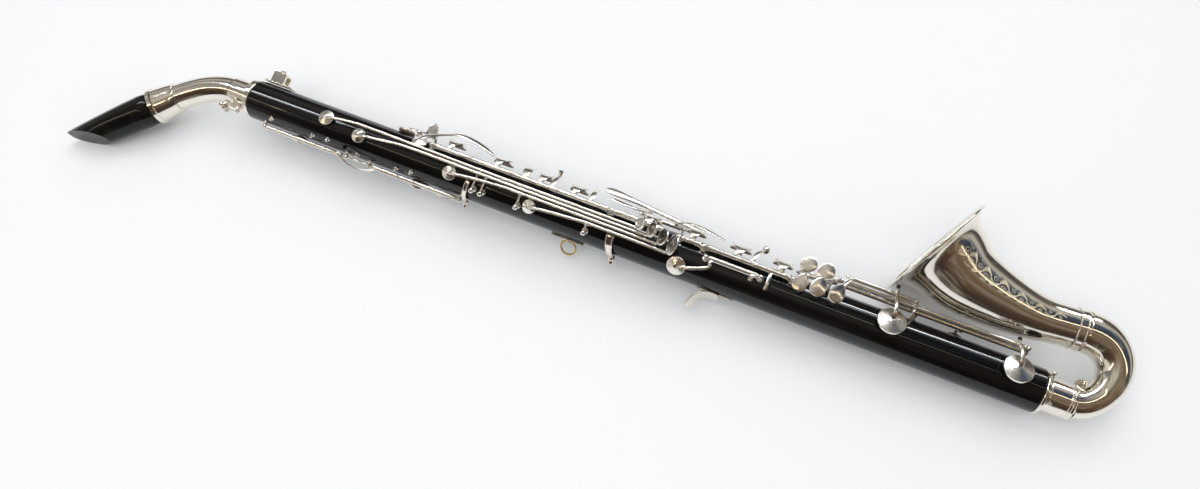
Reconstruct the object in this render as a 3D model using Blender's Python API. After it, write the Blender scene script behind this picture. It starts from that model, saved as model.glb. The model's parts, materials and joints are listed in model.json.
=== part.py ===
# Alto clarinet, lying on its left side: a black body tube with silver-plated keywork,
# a bent neck with a black mouthpiece, and a bow that turns up into a flared bell.
#
# Lengths below are millimetres in the instrument's own axes, and are turned into metres
# at the very end:
#   x  along the body, 0 at its neck end, growing towards the bell
#   y  towards the front (the side the bell opens to)
#   z  towards the player's right
# The parent empty turns and lifts the whole instrument so that it lies on the surface
# z = 0 on its bell rim, a hinge post and its mouthpiece.
import math

import bpy
import bmesh
from mathutils import Matrix, Vector

# ---------------------------------------------------------------- driving dimensions (mm)
BODY_L, BODY_R, BORE_R = 615.4, 15.5, 8.6
GAP = 0.3                       # clearance kept between neighbouring pieces
NECK_R, NECK_TENON_R = 10.2, 9.2
SHANK_R, TABLE_L = 15.3, 76.0   # mouthpiece
BOW_R0, BOW_R1 = 10.3, 14.4
BELL_RIM_R, BELL_RIM_X, BELL_RIM_Y, BELL_RIM_ANGLE = 43.3, 523.6, 69.9, 152.0
RIM_PHASE = math.radians(14.1)   # puts a corner of the faceted bell at its lowest point
WALL = 1.1                      # sheet metal, made a little heavy
TUBE_R, TUBE_BORE, ROD_R = 2.05, 1.25, 0.9
POST_R, STEM_R = 2.15, 1.15
LEVER_W, LEVER_T = 2.3, 1.8     # side-key levers
LEVER_Z = 21.0
SIDE_Y = (5.6, 2.7, -0.3, -3.6)
STACK_PHI, STACK_RAD = 40.0, 18.9
STACK_OPEN, PINKY_OPEN, PINKY_FAR_OPEN, THUMB_OPEN = 11.0, 7.0, 8.0, 8.0   # how far open keys stand, degrees
FACET = 0.52                    # share of the sides a fully round piece would be given
REST_ROLL, REST_PITCH, REST_YAW, REST_LIFT = 16.435, 0.79, 0.0, 30.684
REST_SHIFT_X, REST_SHIFT_Y = -261.408, -13.773

SILVER = ((0.80, 0.76, 0.70), 0.16, 1.0)
BLACK = ((0.012, 0.012, 0.014), 0.22, 0.0)
RUBBER = ((0.02, 0.02, 0.022), 0.28, 0.0)
BRASS = ((0.72, 0.55, 0.22), 0.25, 1.0)
CORK = ((0.45, 0.30, 0.17), 0.85, 0.0)

for old in list(bpy.data.objects):
    bpy.data.objects.remove(old, do_unlink=True)

scene = bpy.context.scene


# ---------------------------------------------------------------- geometry helpers
def V(x, y, z):
    return Vector((x, y, z))


def polar(x, rad, phi):
    """A point at radius rad round the body's axis; phi runs from +z towards +y."""
    p = math.radians(phi)
    return Vector((x, rad * math.sin(p), rad * math.cos(p)))


def frame_of(direction, hint=None):
    a = Vector(direction).normalized()
    h = Vector(hint) if hint is not None else Vector((0, 0, 1))
    if abs(a.dot(h.normalized())) > 0.98:
        h = Vector((0, 1, 0)) if abs(a.y) < 0.9 else Vector((1, 0, 0))
    u = (h - a * h.dot(a)).normalized()
    return a, u, a.cross(u)


def closed(verts, faces):
    bm = bmesh.new()
    vs = [bm.verts.new(v) for v in verts]
    for f in faces:
        bm.faces.new([vs[i] for i in f])
    bmesh.ops.recalc_face_normals(bm, faces=bm.faces)
    vol = bm.calc_volume(signed=True)
    if vol < 0:
        bmesh.ops.reverse_faces(bm, faces=bm.faces)
    bm.verts.index_update()
    out = ([v.co.copy() for v in bm.verts], [[v.index for v in f.verts] for f in bm.faces])
    bm.free()
    return out


def sides(n):
    return max(6, 2 * round(n * FACET / 2))


def turned(origin, axis, profile, n=16, hint=None, loop=False, squash=1.0, phase=0.0):
    """A turned solid. profile is (along, radius) from one end to the other; with loop it is a
    closed ring section. squash scales the radius along the hint's own direction."""
    a, u, w = frame_of(axis, hint)
    n = sides(n)
    o = Vector(origin)
    verts, rows = [], []
    for s, r in profile:
        if r < 1e-6 and not loop:
            rows.append([len(verts)])
            verts.append(o + a * s)
        else:
            row = []
            for k in range(n):
                t = 2 * math.pi * k / n + phase
                row.append(len(verts))
                verts.append(o + a * s + u * (r * math.cos(t) * squash) + w * (r * math.sin(t)))
            rows.append(row)
    faces = []
    m = len(rows)
    for i in range(m if loop else m - 1):
        A, B = rows[i], rows[(i + 1) % m]
        if len(A) == 1 and len(B) == 1:
            continue
        for k in range(n):
            k2 = (k + 1) % n
            if len(A) == 1:
                faces.append((A[0], B[k2], B[k]))
            elif len(B) == 1:
                faces.append((A[k], A[k2], B[0]))
            else:
                faces.append((A[k], A[k2], B[k2], B[k]))
    if not loop:
        if len(rows[0]) > 1:
            faces.append(tuple(reversed(rows[0])))
        if len(rows[-1]) > 1:
            faces.append(tuple(rows[-1]))
    return closed(verts, faces)


def rod(p0, p1, r, n=12, phase=0.13):
    d = Vector(p1) - Vector(p0)
    return turned(p0, d, [(0, r), (d.length, r)], n, phase=phase)


def ball(c, r, n=10, m=6, axis=(0, 0, 1)):
    m = 4 if FACET < 0.8 else m
    prof = [(-r, 0.0)] + [(-r * math.cos(math.pi * i / m), r * math.sin(math.pi * i / m)) for i in range(1, m)] + [(r, 0.0)]
    return turned(c, axis, prof, n, phase=0.21)


def smooth_path(points, per=4):
    """A smooth curve through the points (centripetal in spirit, uniform in form)."""
    P = [Vector(p) for p in points]
    if len(P) < 3 or per < 2:
        return P
    ext = [P[0] * 2 - P[1]] + P + [P[-1] * 2 - P[-2]]
    out = []
    for i in range(1, len(ext) - 2):
        a, b, c, d = ext[i - 1:i + 3]
        for k in range(per):
            t = k / per
            out.append(0.5 * ((2 * b) + (c - a) * t + (2 * a - 5 * b + 4 * c - d) * t * t + (3 * b - a - 3 * c + d) * t ** 3))
    out.append(P[-1])
    return out


def lerp_list(vals, n):
    if not isinstance(vals, (list, tuple)):
        return [vals] * n
    out = []
    m = len(vals) - 1
    for i in range(n):
        t = i / (n - 1) * m
        k = min(int(t), m - 1)
        out.append(vals[k] + (vals[k + 1] - vals[k]) * (t - k))
    return out


def swept(points, half_w, half_t=None, n=8, hint=(0, 0, 1), per=4, sq=2.0, closed_path=False):
    """A bar swept along a smooth path. half_w is across, half_t along the hint; both may be
    lists read along the path. sq is the corner exponent: 2 round, larger squarer."""
    if FACET < 0.8:
        per, n = 1, (4 if n <= 8 else sides(n))
    P = smooth_path(points, per)
    if half_t is None:
        half_t = half_w
    W, T = lerp_list(half_w, len(P)), lerp_list(half_t, len(P))
    verts, rows = [], []
    h = Vector(hint)
    for i, p in enumerate(P):
        d = (P[min(i + 1, len(P) - 1)] - P[max(i - 1, 0)]).normalized()
        u = h - d * h.dot(d)
        if u.length < 1e-4:
            u = Vector((0, 1, 0)) - d * d.y
        u.normalize()
        h = u.lerp(Vector(hint), 0.25) if abs(Vector(hint).normalized().dot(d)) < 0.9 else u
        w = d.cross(u)
        row = []
        for k in range(n):
            t = 2 * math.pi * (k + 0.5) / n
            c, s = math.cos(t), math.sin(t)
            m = (abs(c) ** sq + abs(s) ** sq) ** (-1.0 / sq) if n > 4 else 1.3
            row.append(len(verts))
            verts.append(p + w * (c * m * W[i]) + u * (s * m * T[i]))
        rows.append(row)
    faces = []
    for A, B in zip(rows, rows[1:]):
        for k in range(n):
            k2 = (k + 1) % n
            faces.append((A[k], A[k2], B[k2], B[k]))
    faces.append(tuple(reversed(rows[0])))
    faces.append(tuple(rows[-1]))
    return closed(verts, faces)


def disc(center, normal, rx, ry=None, t=1.2, n=16, hint=(1, 0, 0), dome=0.0, dish=0.0, egg=0.0, rings=1, under=0.0):
    """A plate with an oval or egg outline. dome raises its middle, dish hollows its top,
    under hollows or (negative) fills its underside. rx runs along the hint."""
    if ry is None:
        ry = rx
    n = sides(n)
    a, u, w = frame_of(normal, hint)
    o = Vector(center)
    top, bot = [], []

    def ring(f, z):
        row = []
        for k in range(n):
            th = 2 * math.pi * k / n
            c, s = math.cos(th), math.sin(th)
            row.append(o + u * (rx * f * c) + w * (ry * f * s * (1 - egg * c)) + a * z)
        return row
    verts, rows = [], []

    def add(rowpts):
        rows.append(list(range(len(verts), len(verts) + len(rowpts))))
        verts.extend(rowpts)
    for i in range(rings + 1):          # underside from the middle out
        f = i / rings
        if i == 0:
            add([o + a * (-t / 2 + under)])
        else:
            add(ring(f, -t / 2 + under * (1 - f * f)))
    for i in range(rings, -1, -1):      # top from the rim in
        f = i / rings
        z = t / 2 + dome * (1 - f * f) - dish * (1 - f * f)
        if i == 0:
            add([o + a * z])
        else:
            add(ring(f, z))
    faces = []
    for A, B in zip(rows, rows[1:]):
        for k in range(n):
            k2 = (k + 1) % n
            if len(A) == 1:
                faces.append((A[0], B[k2], B[k]))
            elif len(B) == 1:
                faces.append((A[k], A[k2], B[0]))
            else:
                faces.append((A[k], A[k2], B[k2], B[k]))
    return closed(verts, faces)


def box(center, size, ax=(1, 0, 0), up=(0, 0, 1)):
    a, u, w = frame_of(ax, up)
    o = Vector(center)
    verts = []
    for i in (-1, 1):
        for j in (-1, 1):
            for k in (-1, 1):
                verts.append(o + a * (i * size[0] / 2) + w * (j * size[1] / 2) + u * (k * size[2] / 2))
    faces = [(0, 1, 3, 2), (4, 6, 7, 5), (0, 4, 5, 1), (2, 3, 7, 6), (0, 2, 6, 4), (1, 5, 7, 3)]
    return closed(verts, faces)


# ---------------------------------------------------------------- assembling
MATS = {}


def material(name, spec):
    colour, rough, metal = spec
    m = bpy.data.materials.new(name)
    m.use_nodes = True
    b = m.node_tree.nodes["Principled BSDF"]
    b.inputs["Base Color"].default_value = (*colour, 1)
    b.inputs["Roughness"].default_value = rough
    b.inputs["Metallic"].default_value = metal
    return m


def mesh_of(solid, name):
    me = bpy.data.meshes.new(name)
    me.from_pydata([tuple(v * 0.001) for v in solid[0]], [], solid[1])
    me.update()
    return me


def helper(solid, name):
    ob = bpy.data.objects.new(name, mesh_of(solid, name))
    scene.collection.objects.link(ob)
    ob.hide_render = True
    ob.display_type = "WIRE"
    return ob


ROOT = bpy.data.objects.new("instrument_axes", None)
scene.collection.objects.link(ROOT)
ROOT.rotation_euler = (math.radians(REST_ROLL), math.radians(REST_PITCH), math.radians(REST_YAW))
ROOT.location = (REST_SHIFT_X * 0.001, REST_SHIFT_Y * 0.001, REST_LIFT * 0.001)
PIVOTS = {}


def build(name, spec, solids, cuts=(), pivot=None, sharp=38, stand=0.0):
    """One closed body from overlapping solids, less its cuts, its origin on its joint. Keys are
    drawn with their pads down; stand turns an open-standing one about x to where it rests."""
    base = helper(solids[0], name + "_a")
    tools = []
    for i, s in enumerate(solids[1:]):
        tools.append((helper(s, f"{name}_u{i}"), "UNION"))
    for i, s in enumerate(cuts):
        tools.append((helper(s, f"{name}_c{i}"), "DIFFERENCE"))
    for tool, how in tools:
        m = base.modifiers.new("bool", "BOOLEAN")
        m.object, m.operation, m.solver = tool, how, "EXACT"
    dg = bpy.context.evaluated_depsgraph_get()
    dg.update()
    me = bpy.data.meshes.new_from_object(base.evaluated_get(dg))
    for tool, _ in tools:
        bpy.data.objects.remove(tool, do_unlink=True)
    bpy.data.objects.remove(base, do_unlink=True)
    p = Vector(pivot) if pivot is not None else Vector((0, 0, 0))
    me.transform(Matrix.Translation(-p * 0.001))
    if stand:
        me.transform(Matrix.Rotation(math.radians(stand), 4, 'X'))
    me.name = name
    me.materials.clear()
    me.materials.append(material(name + "_finish", spec))
    for poly in me.polygons:
        poly.material_index = 0
    me.shade_smooth()
    me.set_sharp_from_angle(angle=math.radians(sharp))
    ob = bpy.data.objects.new(name, me)
    scene.collection.objects.link(ob)
    ob.parent = ROOT
    ob.location = p * 0.001
    PIVOTS[name] = p
    return ob


def tube_x(x0, x1, y, z, r=TUBE_R, n=12):
    return rod((x0, y, z), (x1, y, z), r, n)


def bore_x(x0, x1, y, z, r=TUBE_BORE, n=8):
    return rod((x0 - 1, y, z), (x1 + 1, y, z), r, n)


def post(x, phi, rad, foot=True, r=POST_R):
    """A hinge post: foot, stem and ball, standing straight out of the body at phi."""
    d = polar(0, 1, phi)
    base = polar(x, BODY_R + 0.35, phi)
    h = rad - BODY_R - 0.35
    prof = [(0, 2.4), (0.5, 2.4), (0.8, STEM_R + 0.2), (max(1.2, h - r * 0.7), STEM_R)]
    return [turned(base, d, prof, 9), ball(polar(x, rad, phi), r, 10, 6, axis=d)]


def cup(x, rad, phi, r, h=3.2, n=16, cone=1.6):
    """A key cup with its pad: its underside at radius rad from the body's axis."""
    d = polar(0, 1, phi)
    o = polar(x, rad, phi)
    return turned(o, d, [(0, 0), (0, r - 0.5), (0.5, r), (h * 0.62, r), (h * 0.75, r - 0.4), (h + cone * 0.6, 1.6), (h + cone * 0.6, 0)], n)


def length_of(points):
    P = smooth_path(points, 10)
    return sum((b - a).length for a, b in zip(P, P[1:]))


def pipe(points, profile, n=20, step=8.0, hint=(0, 0, 1), phase=0.0):
    """A bent pipe. points give its middle line; profile lists (distance along, outer radius,
    inner radius), and rings are added between them wherever they lie more than step apart."""
    P = smooth_path(points, 10)
    dist = [0.0]
    for a, b in zip(P, P[1:]):
        dist.append(dist[-1] + (b - a).length)
    n = sides(n)

    def at(s):
        s = max(0.0, min(s, dist[-1]))
        for i in range(len(P) - 1):
            if s <= dist[i + 1] + 1e-9:
                t = (s - dist[i]) / (dist[i + 1] - dist[i])
                p = P[i].lerp(P[i + 1], t)
                d0 = P[min(i + 1, len(P) - 1)] - P[max(i - 1, 0)]
                d1 = P[min(i + 2, len(P) - 1)] - P[i]
                return p, d0.normalized().lerp(d1.normalized(), t).normalized()
        return P[-1], (P[-1] - P[-2]).normalized()
    knots = []
    for (s0, o0, i0), (s1, o1, i1) in zip(profile, profile[1:]):
        m = max(1, math.ceil((s1 - s0) / step))
        for k in range(m):
            t = k / m
            knots.append((s0 + (s1 - s0) * t, o0 + (o1 - o0) * t, i0 + (i1 - i0) * t))
    knots.append(profile[-1])
    verts, outer, inner = [], [], []
    for s, ro, ri in knots:
        p, d = at(s)
        u = (Vector(hint) - d * Vector(hint).dot(d)).normalized()
        w = d.cross(u)
        for rows, r in ((outer, ro), (inner, ri)):
            row = []
            for k in range(n):
                t = 2 * math.pi * k / n + phase
                row.append(len(verts))
                verts.append(p + u * (r * math.cos(t)) + w * (r * math.sin(t)))
            rows.append(row)
    faces = []
    loop = outer + inner[::-1]
    for i in range(len(loop)):
        A, B = loop[i], loop[(i + 1) % len(loop)]
        for k in range(n):
            k2 = (k + 1) % n
            faces.append((A[k], A[k2], B[k2], B[k]))
    return closed(verts, faces)


def wrap(points, half_w, half_t, per=3, n=4):
    """A strap that follows the body round: points are (x, radius, phi); half_t is radial."""
    if FACET < 0.8:
        per = 1 if len(points) > 3 else 2
    P = smooth_path([Vector(p) for p in points], per)
    C = [polar(*p) for p in P]
    W, T = lerp_list(half_w, len(P)), lerp_list(half_t, len(P))
    verts, rows = [], []
    for i, c in enumerate(C):
        d = (C[min(i + 1, len(C) - 1)] - C[max(i - 1, 0)]).normalized()
        rad = polar(0, 1, P[i].z)
        u = (rad - d * rad.dot(d))
        u = u.normalized() if u.length > 0.2 else (Vector((1, 0, 0)).cross(d)).normalized()
        w = d.cross(u)
        row = []
        if n == 4:
            sect = [(-1, -1), (1, -1), (1, 1), (-1, 1)]
        else:
            sect = [(-1, -0.5), (-0.7, -1), (0.7, -1), (1, -0.5), (1, 0.5), (0.7, 1), (-0.7, 1), (-1, 0.5)]
        for a, b in sect:
            row.append(len(verts))
            verts.append(c + w * (a * W[i]) + u * (b * T[i]))
        rows.append(row)
    faces = []
    m = len(rows[0])
    for A, B in zip(rows, rows[1:]):
        for k in range(m):
            k2 = (k + 1) % m
            faces.append((A[k], A[k2], B[k2], B[k]))
    faces.append(tuple(reversed(rows[0])))
    faces.append(tuple(rows[-1]))
    return closed(verts, faces)


# ================================================================ the long pieces
# tone holes: place along the body, angle round it, radius
TONE_HOLES = (
    (70.2, 9.8, 3.2), (100.8, -4.5, 3.0), (127.5, 90, 4.0), (146.6, 39, 3.2), (171, 90, 4.2), (179.4, -12.5, 3.0),
    (210.5, 90, 4.8), (246.5, 90, 3.6), (245.8, -21.5, 3.0), (273, 90, 4.8), (331.5, 90, 5.0), (361.3, -30, 4.2),
    (365.5, 90, 5.0), (399.4, 90, 5.0), (430.7, 90, 4.8), (510.1, 20, 6.2), (594.6, 18, 6.2), (150, -120, 4.2),
    (44, -115, 1.6), (470, 165, 4.5), (500, 155, 5.6), (528, 150, 5.4), (557, 150, 6.2),
)


def cone_cut(x, phi, r):
    return rod(polar(x, BORE_R - 1.2, phi), polar(x, BODY_R + 1.0, phi), r, 9)


build("body_tube", BLACK,
      [turned((0, 0, 0), (1, 0, 0),
              [(0, BORE_R), (0, BODY_R - 0.5), (0.5, BODY_R), (BODY_L - 0.5, BODY_R), (BODY_L, BODY_R - 0.5), (BODY_L, BORE_R)],
              36, loop=True)],
      [cone_cut(*h) for h in TONE_HOLES])

# neck end
CLAMP_PHI, CLAMP_RAD = -58.0, 17.8
build("neck_receiver", SILVER,
      [turned((0, 0, 0), (1, 0, 0),
              [(-22.0, 9.65), (-22.0, 10.9), (-6.2, 11.3), (-5.4, 14.6), (-4.6, 15.3), (-0.8, 15.4), (-GAP, 15.0), (-GAP, 9.65)], 28, loop=True),
       box(polar(-10.4, 15.2, CLAMP_PHI), (7.0, 5.0, 8.6), (1, 0, 0), polar(0, 1, CLAMP_PHI))],
      [box(polar(-19.5, 11, 6), (7.0, 1.6, 6.0), (1, 0, 0), polar(0, 1, 6)),
       rod(polar(-18, CLAMP_RAD, CLAMP_PHI), polar(-4, CLAMP_RAD, CLAMP_PHI), 1.75, 10)])
build("neck_clamp_screw", SILVER,
      [rod(polar(-21.6, CLAMP_RAD, CLAMP_PHI), polar(-5.4, CLAMP_RAD, CLAMP_PHI), 1.4, 10),
       turned(polar(-18.6, CLAMP_RAD, CLAMP_PHI), (1, 0, 0), [(0, 0), (0, 4.6), (0.6, 5.0), (2.0, 5.0), (2.6, 4.6), (2.6, 0)], 18),
       ball(polar(-22.4, CLAMP_RAD, CLAMP_PHI), 1.9, 10, 6, axis=(1, 0, 0))],
      pivot=polar(-16, CLAMP_RAD, CLAMP_PHI))

NECK_PATH = [(-2, 0, 0), (-12, 0, 0), (-20, 0, 0), (-24.8, 0, 0), (-33, -1.7, 0), (-44.6, -5.9, 0), (-56.3, -13.0, 0), (-67.8, -21.8, 0), (-75, -28.6, 0), (-81.4, -34.6, 0)]
NECK_L = length_of(NECK_PATH)
NECK_DIR = Vector((-math.cos(math.radians(42.6)), -math.sin(math.radians(42.6)), 0))
build("neck", SILVER,
      [pipe(NECK_PATH,
            [(0, NECK_TENON_R, 7.6), (20.7, NECK_TENON_R, 7.6), (20.9, NECK_R, 7.6),
             (NECK_L - 20.8, NECK_R + 0.2, 8.3), (NECK_L - 20.4, 11.9, 8.3), (NECK_L - 17.0, 12.1, 8.4),
             (NECK_L - 16.0, 12.3, 12.2), (NECK_L - 3.7, 13.6, 12.2), (NECK_L - 3.0, 14.8, 12.2), (NECK_L, 14.8, 12.2)],
            20, step=11.0)],
      pivot=(0, 0, 0))

# mouthpiece, in its own directions: A towards the tip, B the beak side, C across
MP_O = Vector((-82.0, -35.2, 0))
MP_A = Vector((-math.cos(math.radians(43.2)), -math.sin(math.radians(43.2)), 0))
MP_TURN = math.radians(16)
MP_Q = Vector((math.sin(math.radians(43.2)), -math.cos(math.radians(43.2)), 0))
MP_B = (MP_Q * math.cos(MP_TURN) + Vector((0, 0, 1)) * math.sin(MP_TURN)).normalized()
MP_C = MP_A.cross(MP_B)


def mp(s, b, c=0.0):
    return MP_O + MP_A * s + MP_B * b + MP_C * c


BEAK = math.atan2(22.0, 34.5)
beak_dir = MP_A * math.cos(BEAK) - MP_B * math.sin(BEAK)
beak_nrm = MP_A * math.sin(BEAK) + MP_B * math.cos(BEAK)
TABLE_A = math.atan2(3.3, 54.0)
table_dir = MP_A * math.cos(TABLE_A) + MP_B * math.sin(TABLE_A)
table_nrm = MP_A * math.sin(TABLE_A) - MP_B * math.cos(TABLE_A)
build("mouthpiece", RUBBER,
      [swept([mp(s, 0) for s in (0.4, 12, 25, 37, 48, 58, 68, 75, 79.6)],
             [14.0, 13.8, 13.4, 12.7, 11.9, 10.9, 9.7, 8.4, 5.6], [14.0, 13.7, 13.2, 12.6, 12.2, 12.0, 11.8, 11.7, 11.6], 24, hint=MP_B, per=1),
       rod(mp(-14.6, 0), mp(2, 0), 10.3, 20, 0.0)],
      [box(mp(62, 1.0) + beak_nrm * 10, (70, 40, 20), beak_dir, beak_nrm),
       box(mp(53, -10.6) + table_nrm * 10, (62, 40, 20), table_dir, table_nrm),
       rod(mp(-18, 0), mp(49, 0), 7.4, 16),
       box(mp(64.5, -0.5) - beak_nrm * 12.4, (27, 10.6, 20), beak_dir, beak_nrm)],
      pivot=MP_O)
build("mouthpiece_cork", CORK,
      [turned(MP_O, -MP_A, [(1.0, 10.65), (1.0, 11.1), (2.0, 11.4), (12.4, 11.4), (13.6, 11.1), (13.6, 10.65)], 20, loop=True)])

# bell end
build("body_end_ring", SILVER,
      [turned((BODY_L, 0, 0), (1, 0, 0), [(GAP, 8.8), (GAP, 15.0), (0.9, 15.4), (2.2, 15.3), (2.8, 14.2), (2.8, 8.8)], 32, loop=True)])
build("bell_socket", SILVER,
      [turned((BODY_L, 0, 0), (1, 0, 0),
              [(3.1, 8.8), (3.1, 13.2), (4.0, 12.9), (4.6, 11.9), (17.6, 11.6), (18.0, 12.7), (19.6, 12.9), (20.2, 12.2), (20.8, 12.9), (22.0, 12.6), (22.0, 8.8)],
              28, loop=True)])
BOW_PATH = [(620.0, 0, 0), (630.0, 0, 0), (637.0, 0, 0), (641.0, 0.4, 0), (646.2, 3.8, 0), (653.0, 11.8, 0), (656.9, 22.5, 0), (656.3, 33.0, 0), (651.0, 42.0, 0), (642.8, 47.4, 0), (634.5, 49.1, 0), (629.3, 48.8, 0), (624.1, 48.49, 0)]
BOW_LIP = 90.9
build("bell_bow", SILVER,
      [pipe(BOW_PATH, [(0, 8.2, 7.3), (17.9, 8.2, 7.3), (18.0, BOW_R0, 7.3), (19.0, BOW_R0, BOW_R0 - WALL), (39, BOW_R0 + 0.1, BOW_R0 - WALL), (69, 13.2, 13.2 - WALL), (81, BOW_R1, BOW_R1 - WALL), (BOW_LIP, BOW_R1, BOW_R1 - WALL), (BOW_LIP + 0.1, 13.2, 12.3), (BOW_LIP + 5.4, 13.2, 12.3)],
            24, step=11)])
build("bow_ring", SILVER,
      [turned((629.0, 48.75, 0), (-1, -0.06, 0),
              [(0, 13.9), (0, 15.2), (1.0, 15.4), (1.6, 14.8), (4.0, 14.8), (4.6, 15.5), (5.6, 15.3), (5.6, 13.9)], 28, loop=True)])
rim_n = Vector((math.cos(math.radians(BELL_RIM_ANGLE)), math.sin(math.radians(BELL_RIM_ANGLE)), 0))
rim_c = Vector((BELL_RIM_X, BELL_RIM_Y, 0))
BELL_PATH = [(622.9, 48.38, 0), (612, 47.6, 0), (600, 46.9, 0), (584, 48.3, 0), (565, 51.7, 0), (547, 56.7, 0), rim_c - rim_n * 11.0, rim_c]
BELL_PROFILE = [(0, 14.2), (14, 15.0), (28, 17.1), (48, 21.0), (68, 25.0), (87.0, 29.3), (96.0, 32.4), (101.2, 36.6), (104.4, BELL_RIM_R - 0.4)]
build("bell", SILVER,
      [pipe(BELL_PATH, [(s, r, r - WALL) for s, r in BELL_PROFILE], 36, step=22, phase=RIM_PHASE),
       turned(rim_c, rim_n, [(-1.1, BELL_RIM_R - 1.4), (-1.1, BELL_RIM_R), (0, BELL_RIM_R + 0.4), (0.7, BELL_RIM_R), (0.7, BELL_RIM_R - 1.4)], 36, hint=(0, 0, 1), loop=True, phase=RIM_PHASE)])

# ================================================================ small fittings
build("lyre_socket", SILVER,
      [box((13.0, 16.75, 0), (24.0, 12.0, 1.6), (1, 0, 0), (0, 1, 0)),
       box((10.6, 21.6, 0), (11.6, 9.4, 9.6), (1, 0, 0), (0, 1, 0))],
      [box((10.6, 21.4, 0), (14.0, 5.6, 6.2), (1, 0, 0), (0, 1, 0)),
       rod((10.0, 23, 0), (10.0, 29, 0), 1.3, 10)])
build("lyre_screw", SILVER,
      [rod((10.0, 24.6, 0), (10.0, 28.0, 0), 0.95, 10),
       turned((10.0, 26.75, 0), (0, 1, 0), [(0, 0), (0, 2.2), (0.5, 2.5), (1.5, 2.5), (2.0, 2.0), (2.0, 0)], 14)],
      pivot=(10.0, 27, 0))
EYE = polar(278.5, 18.1, -112)
build("strap_plate", SILVER,
      [box(polar(277, 16.55, -112), (26.0, 9.0, 1.2), (1, 0, 0), polar(0, 1, -112)),
       turned(EYE, (1, 0, 0), [(-0.7, 1.5), (-0.7, 2.5), (0.7, 2.5), (0.7, 1.5)], 14, loop=True)],
      [])
RING_DIR = Vector((0, -math.cos(math.radians(40)), -math.sin(math.radians(40))))
RING_C = EYE + RING_DIR * 5.9
ring_n = Vector((1, 0, 0)).cross(RING_DIR)
build("strap_ring", BRASS,
      [turned(RING_C, ring_n, [(0.8 * math.sin(math.pi * k / 3), 5.9 + 0.8 * math.cos(math.pi * k / 3)) for k in range(6)], 24, hint=(1, 0, 0), loop=True)],
      pivot=EYE)
build("thumb_rest", SILVER,
      [wrap([(392.5, 16.45, -144), (392.5, 16.45, -118), (392.5, 16.45, -90)], 14.0, 0.55, per=3),
       swept([(396.0, -17.5, -4.2), (388.5, -17.8, -4.2), (383.0, -20.2, -4.0), (379.6, -25.6, -4.0), (377.6, -31.8, -4.0)], [7.0, 8.0, 8.6, 8.2, 5.0], [0.9, 0.9, 0.85, 0.8, 0.7], 8, hint=(1, 0.3, -0.05), per=2, sq=5)])

# ================================================================ side keys
SIDE = (
    # cup x, cup phi, cup radius, pivot x, touch x, touch y, touch half height
    (70.2, 9.8, 6.0, 200.4, 328.3, 8.9, 4.6),
    (100.8, -4.5, 5.5, 207.6, 337.3, 7.0, 5.2),
    (179.4, -12.5, 5.5, 236.7, 346.2, 5.0, 5.9),
    (245.8, -21.5, 5.25, 290.7, 354.6, 3.0, 7.0),
)
PIN_Z = 17.5
for i, (cx, cphi, cr, px, tx, ty, th) in enumerate(SIDE):
    y = SIDE_Y[i]
    top = polar(cx, 19.6, cphi)
    n_bar = 3 if i < 3 else 2
    bow = 1.1 if i == 0 else 0.0        # the first lever passes round the second key's cup
    path = [top, V(cx + 7, top.y * 0.85 + (y + bow) * 0.15, 20.7), V(cx + 22, (top.y + bow) * 0.45 + (y + bow) * 0.55, LEVER_Z), V(cx + 44, y + bow * 0.6, LEVER_Z), V(px, y, LEVER_Z),
            V((px + tx) / 2, y, LEVER_Z), V(tx - 9, y, LEVER_Z), V(tx - 3.0, y + 0.1, LEVER_Z + 0.8), V(tx - 0.3, ty - th * 0.35, 24.2)]
    tilt = math.radians(48)
    tn = V(-math.sin(tilt), 0, math.cos(tilt))
    solids = [swept(path, [1.2] + [LEVER_W / 2] * 7 + [1.2], LEVER_T / 2, 8, per=2, sq=3.2),
              cup(cx, BODY_R + 0.45, cphi, cr),
              rod((px, y - 1.25, PIN_Z), (px, y + 1.25, PIN_Z), 1.8, 12),
              box((px, y, PIN_Z + 2.3), (2.6, 1.8, 2.2)),
              disc((tx, ty, 24.9), tn, 3.7, th, 1.3, 16, hint=(math.cos(tilt), 0, math.sin(tilt)), dish=0.45)]
    build(f"side_key_{i + 1}", SILVER, solids, [rod((px, y - 3, PIN_Z), (px, y + 3, PIN_Z), TUBE_BORE, 10)], pivot=(px, y, PIN_Z))
    end = (8.0, 4.5, 1.6, -1.8)[i]
    build(f"side_key_{i + 1}_pivot", SILVER,
          post(px, -31, 20.4) + [rod((px, -10.5, PIN_Z), (px, end, PIN_Z), ROD_R, 10)])
build("lever_guide_upper", SILVER,
      [wrap([(195.4, 17.3, -14), (194.4, 17.5, -38), (193.8, 17.5, -62), (194.0, 17.6, -84)], [2.0, 1.9, 1.6, 1.4], 0.75, per=3), ball(polar(194.2, 18.0, -88), 2.0, 10, 6, axis=polar(0, 1, -88))])
build("lever_guide_lower", SILVER,
      [wrap([(310.0, 17.3, -17), (310.4, 17.5, -38), (311.5, 17.5, -62), (313.4, 17.8, -86)], [3.4, 3.0, 2.4, 1.8], 0.75, per=3), ball(polar(313.8, 18.4, -92), 2.3, 10, 6, axis=polar(0, 1, -92))])

# ================================================================ front keys, upper half
SP = polar(0, STACK_RAD, STACK_PHI)


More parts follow.
